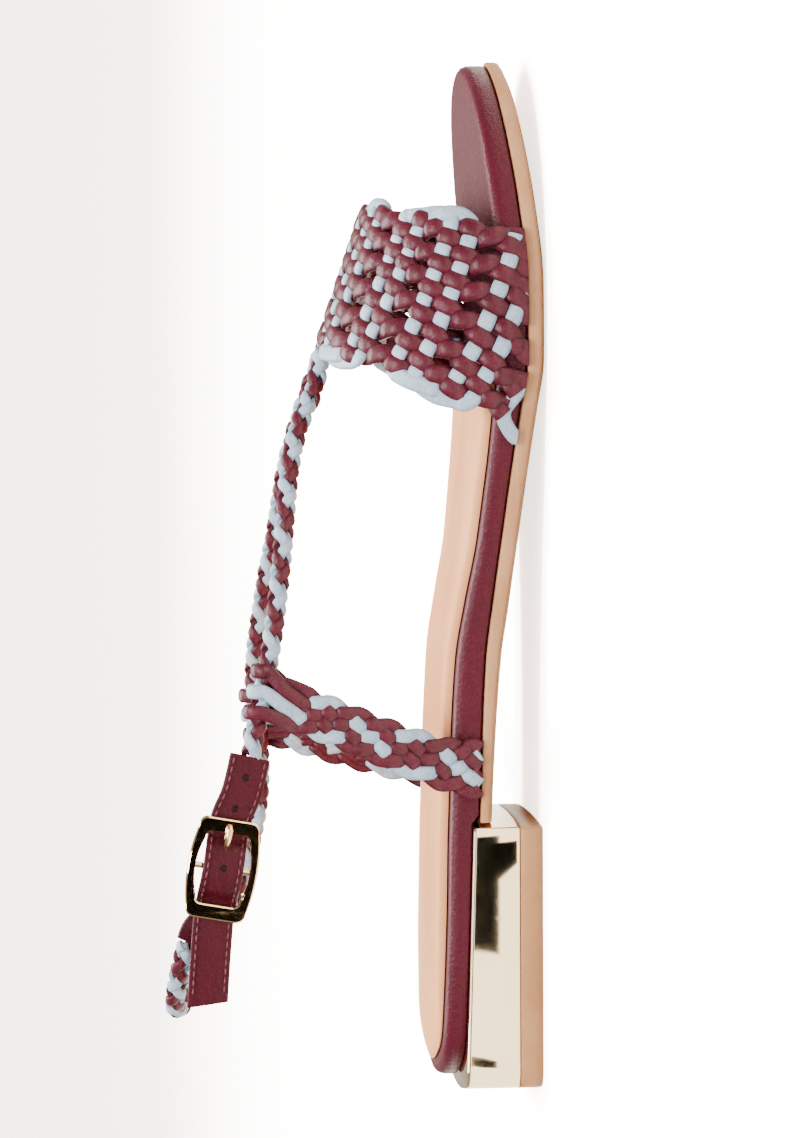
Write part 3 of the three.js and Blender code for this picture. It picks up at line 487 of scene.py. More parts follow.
def insole_finish():
    made, start, place = new_finish("leather_natural")
    cells = pebbles(place, 1500)
    cloud = noise(place, 28, 4, 0.6)
    fine = noise(place, 3800, 3, 0.7)
    colour = cloud.ramp(0.3, 0.75).mix((0.98, 0.39, 0.155), (1.0, 0.47, 0.215))
    return set_finish(made, colour, 0.55 + 0.15 * fine, 0.5 * cells + 0.3 * fine, 0.00012, 0.5,
                      **{"Specular IOR Level": 0.15})


points, faces = sole_layer([
    (insole_inset, insole_foot, 0.0), (insole_inset, insole_foot, 0.35),
    (insole_inset + 0.35, insole_top, -0.75), (insole_inset + 0.9, insole_top, -0.25),
    (insole_inset + 1.8, insole_top, 0.05), (insole_inset + 3.0, insole_top, 0.1),
    (insole_inset + 6.0, insole_top, 0.0)])
add_piece("insole_sock", points, faces, insole_finish(), "insole",
          cut=[((180, 0, 0), (1, 0, 0))])

# Woven vamp
# Strips of burgundy leather run across the foot, strips of light blue leather run along it in
# twos. Each is turned under at its edges and stitched down its back; their ends are lasted into
# the seam between outsole and footbed. Between the twos the crosswise strips cross each other.
vamp_wall = 1.6
fullness, side_bulge = 2.15, 2.6
ridge_side = 7.0


def last_form(row, side):
    """The last under the vamp: row from the front edge to the rear one, side from the outer
    sole edge, -1, over the ridge to the inner one, 1."""
    row, side = np.broadcast_arrays(np.asarray(row, float), np.asarray(side, float))
    inner = side > 0
    climb = (1 - np.abs(side)) * np.pi / 2
    edge_x = np.where(inner, 210 - 41 * row, 206.5 - 48 * row)
    edge_z = seam_height(edge_x) + clearance
    ridge_x, ridge_z = 216.5 - 36 * row, 39.4 + 12.2 * row
    rise = np.clip(np.sin(climb), 0, 1) ** (2 / fullness)
    reach = np.clip(np.cos(climb), 0, 1) ** (2 / fullness)
    x = edge_x + (ridge_x - edge_x) * rise ** np.clip(0.6 + 0.2 * row, 0.3, 1.2)
    out = vamp_wall / 2 + clearance - footbed_inset
    widest = np.where(inner, side_at(x, True) + out, side_at(x, False) - out)
    y = ridge_side + (widest - ridge_side) * reach + side_bulge * np.sin(2 * climb) * np.where(
        inner, 1, -1)
    return np.stack([x, y, edge_z + (ridge_z - edge_z) * rise], -1)


def unit(vectors):
    return vectors / np.maximum(np.linalg.norm(vectors, axis=-1, keepdims=True), 1e-9)


def square_to(outward, ahead):
    """The outward directions, turned square to the ones ahead."""
    return unit(outward - np.sum(outward * ahead, -1, keepdims=True) * ahead)


def last_outward(row, side):
    e = 0.004
    s = np.clip(side, -1 + e, 1 - e)
    down = last_form(row + e, s) - last_form(row - e, s)
    over = last_form(row, s + e) - last_form(row, s - e)
    return unit(np.cross(over, down))


# the face of a strip is softly rounded; its back has a seam where the turned edges meet
def folded_profile(roundness):
    """Half a soft oval for the face, lower roundness being rounder, and the notched back."""
    angle = np.linspace(np.pi, 0, 13)
    face = np.stack([np.sign(np.cos(angle)) * np.abs(np.cos(angle)) ** (2 / roundness),
                     np.sin(angle) ** (2 / roundness)], 1)
    back = [(0.97, -0.4), (0.82, -0.8), (0.45, -0.97), (0.1, -0.93), (0.0, -0.72), (-0.1, -0.93),
            (-0.45, -0.97), (-0.82, -0.8), (-0.97, -0.4)]
    return np.vstack([face, back])


plump_profile, flat_profile = folded_profile(2.1), folded_profile(3.0)


class Strands:
    """Strips that make one piece: each is a profile carried along a run of points."""

    def __init__(self):
        self.points, self.faces, self.count = [], [], 0
        self.marks = {"across": [], "strand": []}

    def add(self, run, outward, width, thickness, profile=plump_profile):
        run = np.asarray(run, float)
        ahead = unit(np.gradient(run, axis=0))
        outward = square_to(outward, ahead)
        across = np.cross(ahead, outward)
        width = np.broadcast_to(width, len(run))[:, None, None]
        thickness = np.broadcast_to(thickness, len(run))[:, None, None]
        rings = (run[:, None] + across[:, None] * profile[None, :, :1] * width / 2
                 + outward[:, None] * profile[None, :, 1:] * thickness / 2)
        size = len(profile)
        first = sum(len(p) for p in self.points)
        faces = grid_faces(len(run), size)
        faces += [tuple(range(size)), tuple(range(size * (len(run) - 1), size * len(run)))]
        self.faces += [tuple(first + i for i in face) for face in faces]
        self.points.append(rings.reshape(-1, 3))
        edgeways = profile[:, 0] * np.sign(profile[:, 1] + 0.01)
        self.marks["across"].append(np.tile(edgeways, len(run)))
        self.marks["strand"].append(np.full(size * len(run), self.count * 0.618 % 1))
        self.count += 1

    def build(self, name, finish, node=None, slot=None, cut=None):
        marks = {key: np.concatenate(value) for key, value in self.marks.items()}
        return add_piece(name, np.vstack(self.points), self.faces, finish, node, marks, cut,
                         50)


# where the lengthwise strips lie: side at the front edge, side at the rear edge
columns = [(-1.037, -0.83), (-0.961, -0.751), (-0.785, -0.625), (-0.69, -0.535), (-0.545, -0.375),
           (-0.45, -0.305), (-0.27, -0.12), (-0.18, -0.03), (-0.03, 0.1), (0.06, 0.19),
           (0.21, 0.34), (0.3, 0.43), (0.45, 0.58), (0.54, 0.67), (0.69, 0.82), (0.78, 0.91),
           (0.93, 1.06), (1.02, 1.15)]
# where the crosswise strips pass each two of them: rows by position
cross_rows = [
    (-0.0328, 0.0427, 0.1211, 0.2032, 0.2882, 0.3778, 0.477, 0.5732, 0.6658, 0.746, 0.8121,
     0.8829),
    (0.0144, 0.0918, 0.1702, 0.2485, 0.324, 0.3996, 0.4722, 0.5544, 0.6422, 0.73, 0.8121, 0.8829),
    (0.0238, 0.0994, 0.1673, 0.2334, 0.2929, 0.3618, 0.4505, 0.5506, 0.6422, 0.7432, 0.8234,
     0.9112),
    (0.0191, 0.09, 0.1466, 0.2221, 0.2976, 0.3826, 0.4722, 0.5525, 0.661, 0.7554, 0.8215, 0.8734),
]
even_rows = tuple(0.0144 + 0.079 * n for n in range(12))
lift = 0.95  # how far a strip's middle stands over or under the wall's middle where two cross


def column_side(column, row):
    front, rear = columns[column]
    return front + (rear - front) * row


def row_at(pair, position):
    table = cross_rows[pair] if 0 <= pair < len(cross_rows) else even_rows
    return table[position - 1]


def eased(knots, count):
    """A run through knots of side, row and height: the way is smooth, and the height eases from
    each knot to the next."""
    knots = np.asarray(knots, float)
    flat = smooth_run(knots[:, :2], count)
    place = np.linspace(0, len(knots) - 1, count)
    i = np.minimum(place.astype(int), len(knots) - 2)
    part = np.clip((place - i - 0.5) * 1.35 + 0.5, 0, 1)
    share = 0.5 - 0.5 * np.cos(np.pi * part)
    return flat[:, 0], flat[:, 1], knots[i, 2] * (1 - share) + knots[i + 1, 2] * share


def cover_last(strands, side, row, height, width, thickness, profile):
    """One strip on the last. Where it comes to the sole's edge it goes down into the seam."""
    if len(side) < 8:
        return
    near_sole = np.clip((np.abs(side) - 0.93) / 0.06, 0, 1)
    height = height * (1 - near_sole) + 0.45 * near_sole
    outward = last_outward(row, side)
    over = np.clip(height / lift, -1, 1)
    run = last_form(row, side) + outward * height[:, None]
    wide = width * (1 + 0.09 * over)
    thick = thickness * (1 - 0.45 * near_sole)
    more = [5 * (abs(side[end]) > 0.985) for end in (0, -1)]  # steps of its way down at each end
    down = np.array([(0, 0, -0.8 * k) for k in range(1, 6)])
    run = np.vstack([run[0] + down[::-1][:more[0]], run, run[-1] + down[:more[1]]])
    outward = np.pad(outward, (more, (0, 0)), "edge")
    strands.add(run, outward, np.pad(wide, more, "edge"), np.pad(thick, more, "edge"), profile)
    laid = strands.points[-1]
    laid[:, 2] = np.maximum(laid[:, 2], seam_height(laid[:, 0]) + 0.12)


def lay_on_last(strands, knots, width, thickness, count, profile=plump_profile):
    """A strip through knots of side, row and height, from one sole edge to the other."""
    side, row, height = eased(knots, count)
    inside = np.abs(side) <= 0.997
    first, last = np.argmax(inside), len(inside) - np.argmax(inside[::-1])
    cover_last(strands, side[first:last], row[first:last], height[first:last], width, thickness,
               profile)


crosswise_width, crosswise_thickness = 4.15, 2.3
lengthwise_width, lengthwise_thickness = 3.75, 1.8
burgundy_strips = Strands()
for strip in range(1, 13):
    knots = []
    for pair in range(-1, 10):
        swapped = pair % 2 == 1
        position = strip + (1 if strip % 2 else -1) if swapped else strip
        other = position + (1 if position % 2 else -1)
        if pair >= 0 and pair < 9:
            row = row_at(pair, position)
            sign = lift if position % 2 else -lift
            knots.append((column_side(2 * pair, row), row, sign))
            knots.append((column_side(2 * pair + 1, row), row, -sign))
        elif pair == -1:
            row = row_at(0, position)
            knots.append((column_side(0, row) - 0.10, row, -lift if position % 2 else lift))
        if pair < 8:
            nearer, farther = max(pair, 0), pair + 1
            row = 0.25 * (row_at(nearer, position) + row_at(nearer, other)
                          + row_at(farther, position) + row_at(farther, other))
            if pair == -1:
                side = column_side(0, row) - 0.045
            else:
                side = 0.5 * (column_side(2 * pair + 1, row) + column_side(2 * pair + 2, row))
            knots.append((side, row, 1.08 if position % 2 else -1.08))
    lay_on_last(burgundy_strips, knots, crosswise_width, crosswise_thickness, 320)

blue_strips = Strands()


def pass_column(column, rows):
    """The knots of a lengthwise strip where it passes the crosswise ones, from row to row."""
    pair = column // 2
    knots = []
    for position in rows:
        row = row_at(pair, position)
        over = (position % 2 == 0) if column % 2 == 0 else (position % 2 == 1)
        knots.append((column_side(column, row), row, lift if over else -lift))
    return knots


def turn_at_edge(column, rear):
    """The knots of a lengthwise strip's turn from one column to the next of its kind."""
    span_front = columns[column + 2][0] - columns[column][0]
    span_rear = columns[column + 2][1] - columns[column][1]
    first = column % 2 == 0
    if rear:
        high = -0.018 if column < 2 else 0.0  # the first turns lie farther forward
        if first:
            turn = [(0.0, 0.93, 0.3), (0.2, 0.966 + high, -0.35), (0.52, 0.984 + high, -0.35),
                    (0.8, 0.966 + high, -0.2), (0.94, 0.925, 0.5)]
        else:
            turn = [(0.02, 0.925, -0.2), (0.2, 0.945 + high, 0.95), (0.52, 0.957 + high, 1.1),
                    (0.8, 0.95 + high, 0.9), (0.94, 0.92, 0.0)]
        return [(columns[column][1] + share * span_rear, row, height)
                for share, row, height in turn]
    if first:
        turn = [(0.05, -0.028, -0.4), (0.24, -0.052, 0.1), (0.5, -0.042, 0.75), (0.82, 0.004, 0.5)]
    else:
        turn = [(0.05, -0.022, 0.5), (0.3, -0.046, -0.55), (0.6, -0.018, 0.0), (0.92, 0.01, 0.5)]
    inward = 0.0 if column in (2, 3) else 0.014
    return [(columns[column][0] + share * span_front, row + inward, height)
            for share, row, height in turn]


for first_column in (0, 1):
    knots = []
    down = True
    for column in range(first_column, len(columns), 2):
        knots += pass_column(column, range(1, 13) if down else range(12, 0, -1))
        if column + 2 < len(columns):
            knots += turn_at_edge(column, down)
        down = not down
    # the run is cut where it dips under the sole's edge, so each stretch above it is laid alone
    side, row, height = eased(knots, 2100)
    inside = np.abs(side) <= 0.997
    starts = np.flatnonzero(inside & ~np.r_[False, inside[:-1]])
    ends = np.flatnonzero(inside & ~np.r_[inside[1:], False]) + 1
    for a, b in zip(starts, ends):
        cover_last(blue_strips, side[a:b], row[a:b], height[a:b], lengthwise_width,
                   lengthwise_thickness, plump_profile)
tail = [(column_side(0, r) - 0.10, r, lift if n % 2 == 0 else -lift)
        for n, r in zip(range(8, 13), cross_rows[0][7:])]
lay_on_last(blue_strips, tail + [(-0.975, 0.93, 0.3), (-1.0, 0.95, 0.0)], 3.4, 1.5, 60,
            flat_profile)


def strip_finish(name, light, dark, crease_shade):
    """A folded strip: pebble grain, with painted shade toward its turned edges and in the grain's
    creases; each strip a little its own.
    """
    made, start, place = new_finish(name)
    across = start.node("Attribute", {"attribute_name": "across"}, None, "Fac")
    strand = start.node("Attribute", {"attribute_name": "strand"}, None, "Fac")
    edge = across.sum("ABSOLUTE", across).ramp(0.45, 1.0)
    cells = pebbles(place, 1500)
    coarse = pebbles(stretched(place, 1.2, 1, 1), 640)
    fine = noise(place, 5200, 3, 0.7)
    cloud = noise(place, 140, 4, 0.6)
    grain = 0.6 * cells + 0.4 * coarse
    colour = (cloud.ramp(0.3, 0.72) * 0.75 + strand * 0.25).mix(dark, light)
    # painted shade: darker toward the turned edges and in the grain's creases
    colour = (edge * 0.4).mix(colour, crease_shade)
    colour = grain.ramp(0.2, 0.62, 0.28, 0.0).mix(colour, crease_shade)
    return set_finish(made, colour, 0.32 + 0.12 * cloud + 0.12 * edge, grain + 0.15 * fine,
                      0.00018, 0.55, **{"Specular IOR Level": 0.26})


# the last colour of each is the painted shade of its edges and creases
burgundy_strip_finish = strip_finish(
    "strip_burgundy", (0.118, 0.0088, 0.023), (0.084, 0.006, 0.016), (0.028, 0.0018, 0.005))
blue_strip_finish = strip_finish(
    "strip_blue", (0.53, 0.66, 0.78), (0.43, 0.56, 0.69), (0.16, 0.24, 0.34))
burgundy_strips.build("vamp_cross_strips", burgundy_strip_finish, "upper", "leather_woven")
blue_strips.build("vamp_long_strips", blue_strip_finish, None, "leather_woven")

# Ankle braids
# Two thin round braids, each of two burgundy and two blue strips worked over and under. They
# leave the back of the vamp, pass the loops of the quarter straps and go on round the ankle.
outer_route = [
    (183.5, -0.5, 50.4), (178.8, -3, 52), (171.5, -7, 54.3), (165.5, -11, 57.2), (158.4, -16, 59.6),
    (151.2, -20, 61), (144.1, -23.5, 61.9), (135.8, -26.5, 62.8), (127.5, -28.5, 63.8),
    (119.2, -30, 64.9), (110.8, -31, 66.2), (102.5, -31.8, 67.8), (95, -32.4, 69.4),
    (85.8, -32.8, 71.2)]
inner_route = [
    (184, 14.5, 49.6), (178.5, 15.5, 51.4), (171, 17, 54), (163, 18.6, 56.6), (153, 20.4, 59.2),
    (143.2, 22.4, 60.8), (135, 24.6, 62), (126.8, 27, 63.6), (116.6, 29, 65.2), (106.3, 30.5, 66.6),
    (96.1, 31.5, 67), (88, 31.8, 66.2), (79, 31.6, 65.5), (70, 31, 65.7), (60, 29.4, 67.4),
    (50, 26.4, 70.6), (40.5, 21.6, 75), (30.6, 14.8, 80.4), (22.8, 6.2, 85), (20.2, -3.2, 87.9),
    (23.2, -12.6, 89.1), (29.3, -20.2, 88.8), (35.2, -24.8, 87.8), (39.8, -27, 86.7)]
braid_turn, braid_ripple = 12.6, 0.46  # the way in which a strand goes once round; over and under


def way_along(run):
    """How far each point of a run is from its start, along the run."""
    return np.r_[0, np.cumsum(np.linalg.norm(np.diff(run, axis=0), axis=1))]


def between(at, places, points):
    """Points at some places of a run whose points and their places are given."""
    return np.stack([np.interp(at, places, points[:, i]) for i in range(3)], 1)


def even_run(knots, step):
    """A smooth run through knots with its points evenly apart."""
    fine = smooth_run(knots, 40 * len(knots))
    far = way_along(fine)
    at = np.linspace(0, far[-1], int(far[-1] / step) + 1)
    return between(at, far, fine), at


def round_ankle(run):
    away = np.stack([(run[:, 0] - 70) * 0.35, run[:, 1], np.zeros(len(run))], 1)
    ahead = unit(np.gradient(run, axis=0))
    outward = square_to(away, ahead)
    return ahead, outward, np.cross(ahead, outward)


def work_braid(route, phase, burgundy, blue):
    run, at = even_run(route, 0.45)
    ahead, outward, edgeways = round_ankle(run)
    for way in (1, -1):
        for half, strands in ((0, burgundy), (1, blue)):
            travel = at / braid_turn * 2 * np.pi + phase
            turn = way * travel + half * np.pi - np.pi / 4
            ripple = way * braid_ripple * np.clip(1.3 * np.cos(2 * travel), -1, 1)
            spoke = outward * np.cos(turn)[:, None] + edgeways * np.sin(turn)[:, None]
            centre = run + outward * (np.cos(turn) * (1.1 + ripple))[:, None] \
                + edgeways * (np.sin(turn) * (1.4 + ripple))[:, None]
            strands.add(centre, spoke, 2.5 + 0.5 * ripple, 1.45)


braid_burgundy, braid_blue = Strands(), Strands()
work_braid(outer_route, 0.0, braid_burgundy, braid_blue)
work_braid(inner_route, 0.8, braid_burgundy, braid_blue)
braid_burgundy.build("ankle_braid_burgundy", burgundy_strip_finish, None, "leather_woven")
braid_blue.build("ankle_braid_blue", blue_strip_finish, None, "leather_woven")

# Quarter straps
# Two flat plaits. Three bands, burgundy, blue and burgundy, are folded over the thin braid; their
# six legs are plaited flat down to the sole and lasted into the seam beside the heel.
outer_plait = [
    (81.2, 15.4, 0, 16.2), (81.3, 19.5, 0.1, 15.4), (82.9, 25, 1.4, 14.2), (85.4, 32, 3, 13.4),
    (88.3, 39, 4.3, 12.9), (91.3, 46, 5.3, 12.6), (94.2, 53, 5.8, 12.6), (96.8, 60, 6.1, 13),
    (98.8, 66, 6.9, 13.4)]
inner_plait = [
    (76.9, 15.6, 0, 16.2), (77, 19.5, 0.1, 15.4), (77.9, 25, 1.6, 14.2), (79.3, 32, 3.2, 13.4),
    (80.8, 39, 4.6, 12.9), (82.6, 46, 5.6, 12.6), (84.8, 53, 6.2, 12.6), (87, 60, 6.6, 13),
    (88.8, 66, 7.4, 13.4)]
piece_heights = (59.5, 53.3, 46.6, 39.3, 32.3, 24.3, 18.0, 11.0)  # where pieces lie at the toe side
plait_lift, leg_width, leg_thickness = 0.72, 3.45, 1.5


def weave_height(turn):
    """Over and under along one strand of a flat plait of six."""
    knots = np.array([0, 1, -1, 1, -1, 1, 0, -1, 1, -1, 1, -1, 0])
    place = (turn % 1) * 12
    i = np.minimum(place.astype(int), 11)
    share = 0.5 - 0.5 * np.cos(np.pi * np.clip((place - i - 0.5) * 1.4 + 0.5, 0, 1))
    return knots[i] * (1 - share) + knots[i + 1] * share


def sway(turn):
    """From edge to edge and back: straight ways with round turns."""
    total = np.zeros_like(turn)
    for shift_by in np.linspace(-0.03, 0.03, 7):
        t = (turn + shift_by) % 1
        total += np.where(t < 0.5, 4 * t - 1, 3 - 4 * t)
    return total / 7


def work_plait(rows, inner, route, band_places, burgundy, blue):
    sign = 1 if inner else -1
    foot = side_at(rows[0][0], inner) + sign * (1.3 + clearance - footbed_inset)
    path, at = even_run([(x, foot + sign * out, z) for x, z, out, _ in rows], 0.4)
    path, at = path[::-1], at[-1] - at[::-1]
    ahead = unit(np.gradient(path, axis=0))
    outward = square_to(np.tile((0.0, sign, 0.0), (len(path), 1)), ahead)
    toe_ward = np.cross(outward, ahead) * sign * -1
    toe_ward *= np.sign(toe_ward[:, :1])
    wide = np.interp(path[:, 2], [r[1] for r in rows], [r[3] for r in rows])
    cycle = np.interp(-path[:, 2], [-z for z in piece_heights], np.arange(8) / 6) + 0.075
    below = path[:, 2] <= piece_heights[0]
    braid, _ = even_run(route, 0.5)
    for band, strands in ((0, burgundy), (1, blue), (2, burgundy)):
        legs = []
        for front in (True, False):
            number = 3 + band if front else 2 - band
            turn = (2 * number + 1) / 12 + cycle[below]
            u, h = sway(turn), weave_height(turn)
            part = path[below]
            near = np.clip((part[:, 2] - rows[0][1]) / 4.0, 0.45, 1)
            leg = part + toe_ward[below] * (u * (wide[below] / 2 - 1.75))[:, None] \
                + outward[below] * (h * plait_lift * near)[:, None]
            legs.append((leg, outward[below]))
        x = band_places[band]
        nearest = braid[np.argmin(np.abs(braid[:, 0] - x) + (braid[:, 1] * sign < 10) * 99)]
        turned = np.radians(np.arange(7) * 30)
        spokes = np.stack([0 * turned, sign * np.cos(turned), np.sin(turned)], 1)
        around = nearest + spokes * (3.6, 3.2, 3.3)
        top = path[np.argmin(np.abs(path[:, 2] - 63.5))]
        (front_leg, front_out), (back_leg, back_out) = legs
        before, behind = (np.array([0.5 * (leg[0, 0] + x), top[1] + sign * height, 63.8])
                          for height, leg in ((1.1, front_leg), (-1.1, back_leg)))
        knots = np.vstack([front_leg[:1], before, around, behind])
        arch, _ = even_run(knots, 0.4)
        spokes = np.vstack([front_out[:1], (0, sign, 0), spokes, (0, -sign, 0)])
        along = np.linspace(0, len(knots) - 1, len(arch))
        arch_out = between(along, range(len(knots)), spokes)
        strands.add(np.vstack([front_leg[:0:-1], arch]), np.vstack([front_out[:0:-1], arch_out]),
                    leg_width, leg_thickness)
        head, _ = even_run(np.vstack([behind + (0, 0, 0.8), 0.5 * (behind + back_leg[0]),
                                      back_leg[:1]]), 0.4)
        head_out = np.tile((0.0, sign, 0.0), (len(head) - 1, 1))
        strands.add(np.vstack([head[:-1], back_leg]), np.vstack([head_out, back_out]),
                    leg_width, leg_thickness)


for name, rows, route, band_places in (("outer", outer_plait, outer_route, (106.1, 100.8, 96.0)),
                                       ("inner", inner_plait, inner_route, (94.9, 89.9, 84.8))):
    plait_burgundy, plait_blue = Strands(), Strands()
    work_plait(rows, name == "inner", route, band_places, plait_burgundy, plait_blue)
    plait_burgundy.build(name + "_plait_burgundy", burgundy_strip_finish, name + "_quarter_strap",
                         "leather_woven")
    plait_blue.build(name + "_plait_blue", blue_strip_finish, None, "leather_woven")

# Strap tab
# A narrow strip of burgundy leather, two layers with turned edges, stitched along both edges with
# a dark red thread. It is sewn to the end of the outer braid; its round holes for the prong are
# painted on as dark spots of painted shade.
buckle_length, buckle_end_width, buckle_middle_width = 24.8, 14.6, 17.0
buckle_centre = np.array([58.5, -34.4, 78.3])
strap_along = unit(np.array([-0.982, 0.06, 0.172]))
strap_outward = unit(np.array([0, -1, 0]) + strap_along * strap_along[1])
strap_across = np.cross(strap_outward, strap_along)
tab_width, tab_thickness = 9.8, 1.7
pivot_depth, pivot_radius = -1.35, 0.75
under_bar, over_pivot = -2.0, 2.25


def on_buckle(along, across, out):
    along, across, out = np.broadcast_arrays(*map(np.asarray, (along, across, out)))
    return (buckle_centre + along[..., None] * strap_along + across[..., None] * strap_across
            + out[..., None] * strap_outward)


tab_knots = [(85.4, -32.9, 71.4), (81, -33, 72.4), (76, -33.1, 73.8)] + [
    tuple(on_buckle(*p)) for p in (
        (-12, 0, under_bar), (-7.4, 0, under_bar), (-3.6, 0, 1.35), (0, 0, over_pivot),
        (3.6, 0, 1.35), (7.4, 0, under_bar), (12, 0, under_bar), (20, 0.7, -2.5), (28, 1.6, -3.6),
        (36.4, 2.6, -5.2))]
tab_profile = np.array([
    (-1, 0), (-0.99, 0.55), (-0.95, 0.86), (-0.88, 1), (-0.8, 0.9), (-0.72, 0.98), (-0.3, 1.06),
    (0.3, 1.06), (0.72, 0.98), (0.8, 0.9), (0.88, 1), (0.95, 0.86), (0.99, 0.55), (1, 0),
    (0.98, -0.6), (0.93, -0.95), (0.4, -1), (-0.4, -1), (-0.93, -0.95), (-0.98, -0.6)])
tab_run, _ = even_run(tab_knots, 0.5)
tab = Strands()
tab.add(tab_run, strap_outward, tab_width, tab_thickness, tab_profile)
tip_away = unit(strap_along + strap_across * (3.2 / 9.8))
# the middles of the tab's painted holes, dark spots of painted shade on its face
tab_painted_holes = [tab_run[np.argmin(np.abs((tab_run - buckle_centre) @ strap_along - at))]
             + strap_outward * 0.9 for at in (-22.4, -14.9, -0.7)]
# darker than the footbed's burgundy: partly the leather's own colour, partly painted shade for the
# tab's shaded end
burgundy_with_painted_shade = leather_finish("tab_leather", (0.072, 0.0036, 0.011), (0.058, 0.0028, 0.009),
                                  0.36, tab_painted_holes)
tab.build("strap_tab_leather", burgundy_with_painted_shade, "strap_tab", "leather_burgundy",
          cut=[(on_buckle(34.0, 2.4, 0), tuple(tip_away))])

tab_ahead = unit(np.gradient(tab_run, axis=0))
tab_out = square_to(strap_outward, tab_ahead)
tab_side = np.cross(tab_ahead, tab_out)
round_profile = np.array([(math.cos(a), math.sin(a)) for a in np.linspace(0, 2 * np.pi, 9)[:-1]])


def add_stitches(strands, run, out, spacing=2.25, length=1.6):
    """Stitches along a run: each rises from its hole, lies on the leather and dips again."""
    far = way_along(run)
    share = np.linspace(0, 1, 9)
    rise = 0.12 + 0.30 * np.sin(np.pi * share)[:, None] ** 0.6
    width = 0.46 * np.sin(np.pi * (0.12 + 0.76 * share))
    for start in np.arange(0.8, far[-1] - length, spacing):
        at = start + share * length
        away = unit(between(at, far, out))
        strands.add(between(at, far, run) + away * rise, away, width, 0.36, round_profile)


def thread_finish():
    made, start, place = new_finish("tab_thread")
    ply = noise(stretched(place, 2600, 2600, 900), 1.0, 2)
    colour = ply.ramp(0.35, 0.65).mix((0.12, 0.014, 0.028), (0.20, 0.032, 0.055))
    return set_finish(made, colour, 0.6, ply, 0.0002, 0.6)


stitches = Strands()
stop = np.argmin(np.linalg.norm(tab_run - on_buckle(32.5, 2.2, -4.4), axis=1))
for way in (-1, 1):
    edge = (tab_run + tab_side * (way * (tab_width / 2 - 1.15))
            + tab_out * (tab_thickness / 2 - 0.08))
    add_stitches(stitches, edge[:stop], tab_out[:stop])
stitches.build("strap_tab_stitches", thread_finish(), None, "leather_burgundy")

# Buckle frame
# A cast and gilt barrel frame with bevelled edges, and a pivot bar set behind its middle.
buckle_end_bar, buckle_side_bar = 3.7, 1.9


def barrel(half_length, end_half, middle_half, corner, count=18):
    """A barrel outline: bowed long sides, straight ends, round corners."""
    bulge = 2 * middle_half - end_half
    l, e, k = half_length, end_half, corner
    return np.vstack([
        bend((k - l, -e), (0, -bulge), (l - k, -e), count),
        bend((l - k, -e), (l, -e), (l, k - e), 6),
        bend((l, k - e), (l, 0), (l, e - k), 8), bend((l, e - k), (l, e), (l - k, e), 6),
        bend((l - k, e), (0, bulge), (k - l, e), count), bend((k - l, e), (-l, e), (-l, e - k), 6),
        bend((-l, e - k), (-l, 0), (-l, k - e), 8), bend((-l, k - e), (-l, -e), (k - l, -e), 6)])


outer_ring = barrel(buckle_length / 2, buckle_end_width / 2, buckle_middle_width / 2, 2.4)
inner_ring = barrel(buckle_length / 2 - buckle_end_bar, buckle_end_width / 2 - buckle_side_bar,
                    buckle_middle_width / 2 - buckle_side_bar, 1.8)
bar_wide = np.linalg.norm(inner_ring - outer_ring, axis=1, keepdims=True)
rings = []
for edge, way_in, rise in ((0, 0.0, -0.45), (0, 0.0, 0.35), (0, 0.1, 0.62), (0, 0.42, 0.85),
                           (1, -0.42, 0.85), (1, -0.1, 0.62), (1, 0.0, 0.35), (1, 0.0, -0.45),
                           (1, -0.35, -0.85), (0, 0.35, -0.85)):
    flat = outer_ring + (inner_ring - outer_ring) * (edge + way_in / bar_wide)
    rings.append(on_buckle(flat[:, 0], flat[:, 1], rise))
size = len(outer_ring)
faces = [tuple(i % (len(rings) * size) for i in f) for f in grid_faces(len(rings) + 1, size)]
gold = mirror_finish("buckle_gold", (0.83, 0.55, 0.29), 0.04, 0.1)
add_piece("buckle_bars", np.vstack(rings), faces, gold, "buckle_frame", sharp=28)
pivot = Strands()
across = np.linspace(-(buckle_middle_width / 2 - 0.9), buckle_middle_width / 2 - 0.9, 12)
pivot.add(on_buckle(0, across, pivot_depth), strap_outward, 2 * pivot_radius, 2 * pivot_radius,
          round_profile)
pivot.build("buckle_pivot", gold, None, "buckle_gold")

# Buckle prong
# A gilt pin bent round the pivot; its rounded tip lies on the front bar, through a hole of the tab.
prong = Strands()
prong_run, _ = even_run([
    tuple(on_buckle(*p)) for p in (
        (1.2, 0, pivot_depth + 0.9), (0.2, 0, pivot_depth + 1.75), (-1.6, 0, pivot_depth + 1.5),
        (-4.4, 0, 0.1), (-7.4, 0, 1.75), (-10.9, 0, 1.85))], 0.25)
taper = np.clip((len(prong_run) - np.arange(len(prong_run))) / 4, 0.3, 1) ** 0.5
prong.add(prong_run, strap_outward, 1.7 * taper, 1.5 * taper, round_profile)
prong.build("buckle_pin", gold, "buckle_prong", "buckle_gold")

# Chape
# A burgundy leather strip that holds the buckle's pivot; its end is sewn to the end of the inner
# braid behind the ankle.
chape = Strands()
lower = [tuple(on_buckle(*p)) for p in (
    (0.6, 0, -2.95), (4, 0, -4.05), (9, 0, -4.25), (12.5, -0.8, -4.55))]
tail_run, _ = even_run(lower + [(43.6, -28.9, 84.6), (40.6, -27.2, 86.0)], 0.5)
chape.add(tail_run, strap_outward, np.linspace(8.6, 6.4, len(tail_run)), 2.2, tab_profile)
chape.build("chape_leather", burgundy_with_painted_shade, "chape", "leather_burgundy")

# Studio
# A pale floor that rises behind the shoe, a large soft light above and behind, two weaker ones
# above and in front, black cards that the gilt parts mirror, and the camera low at the shoe's
# outer side, turned so that the toe is up.


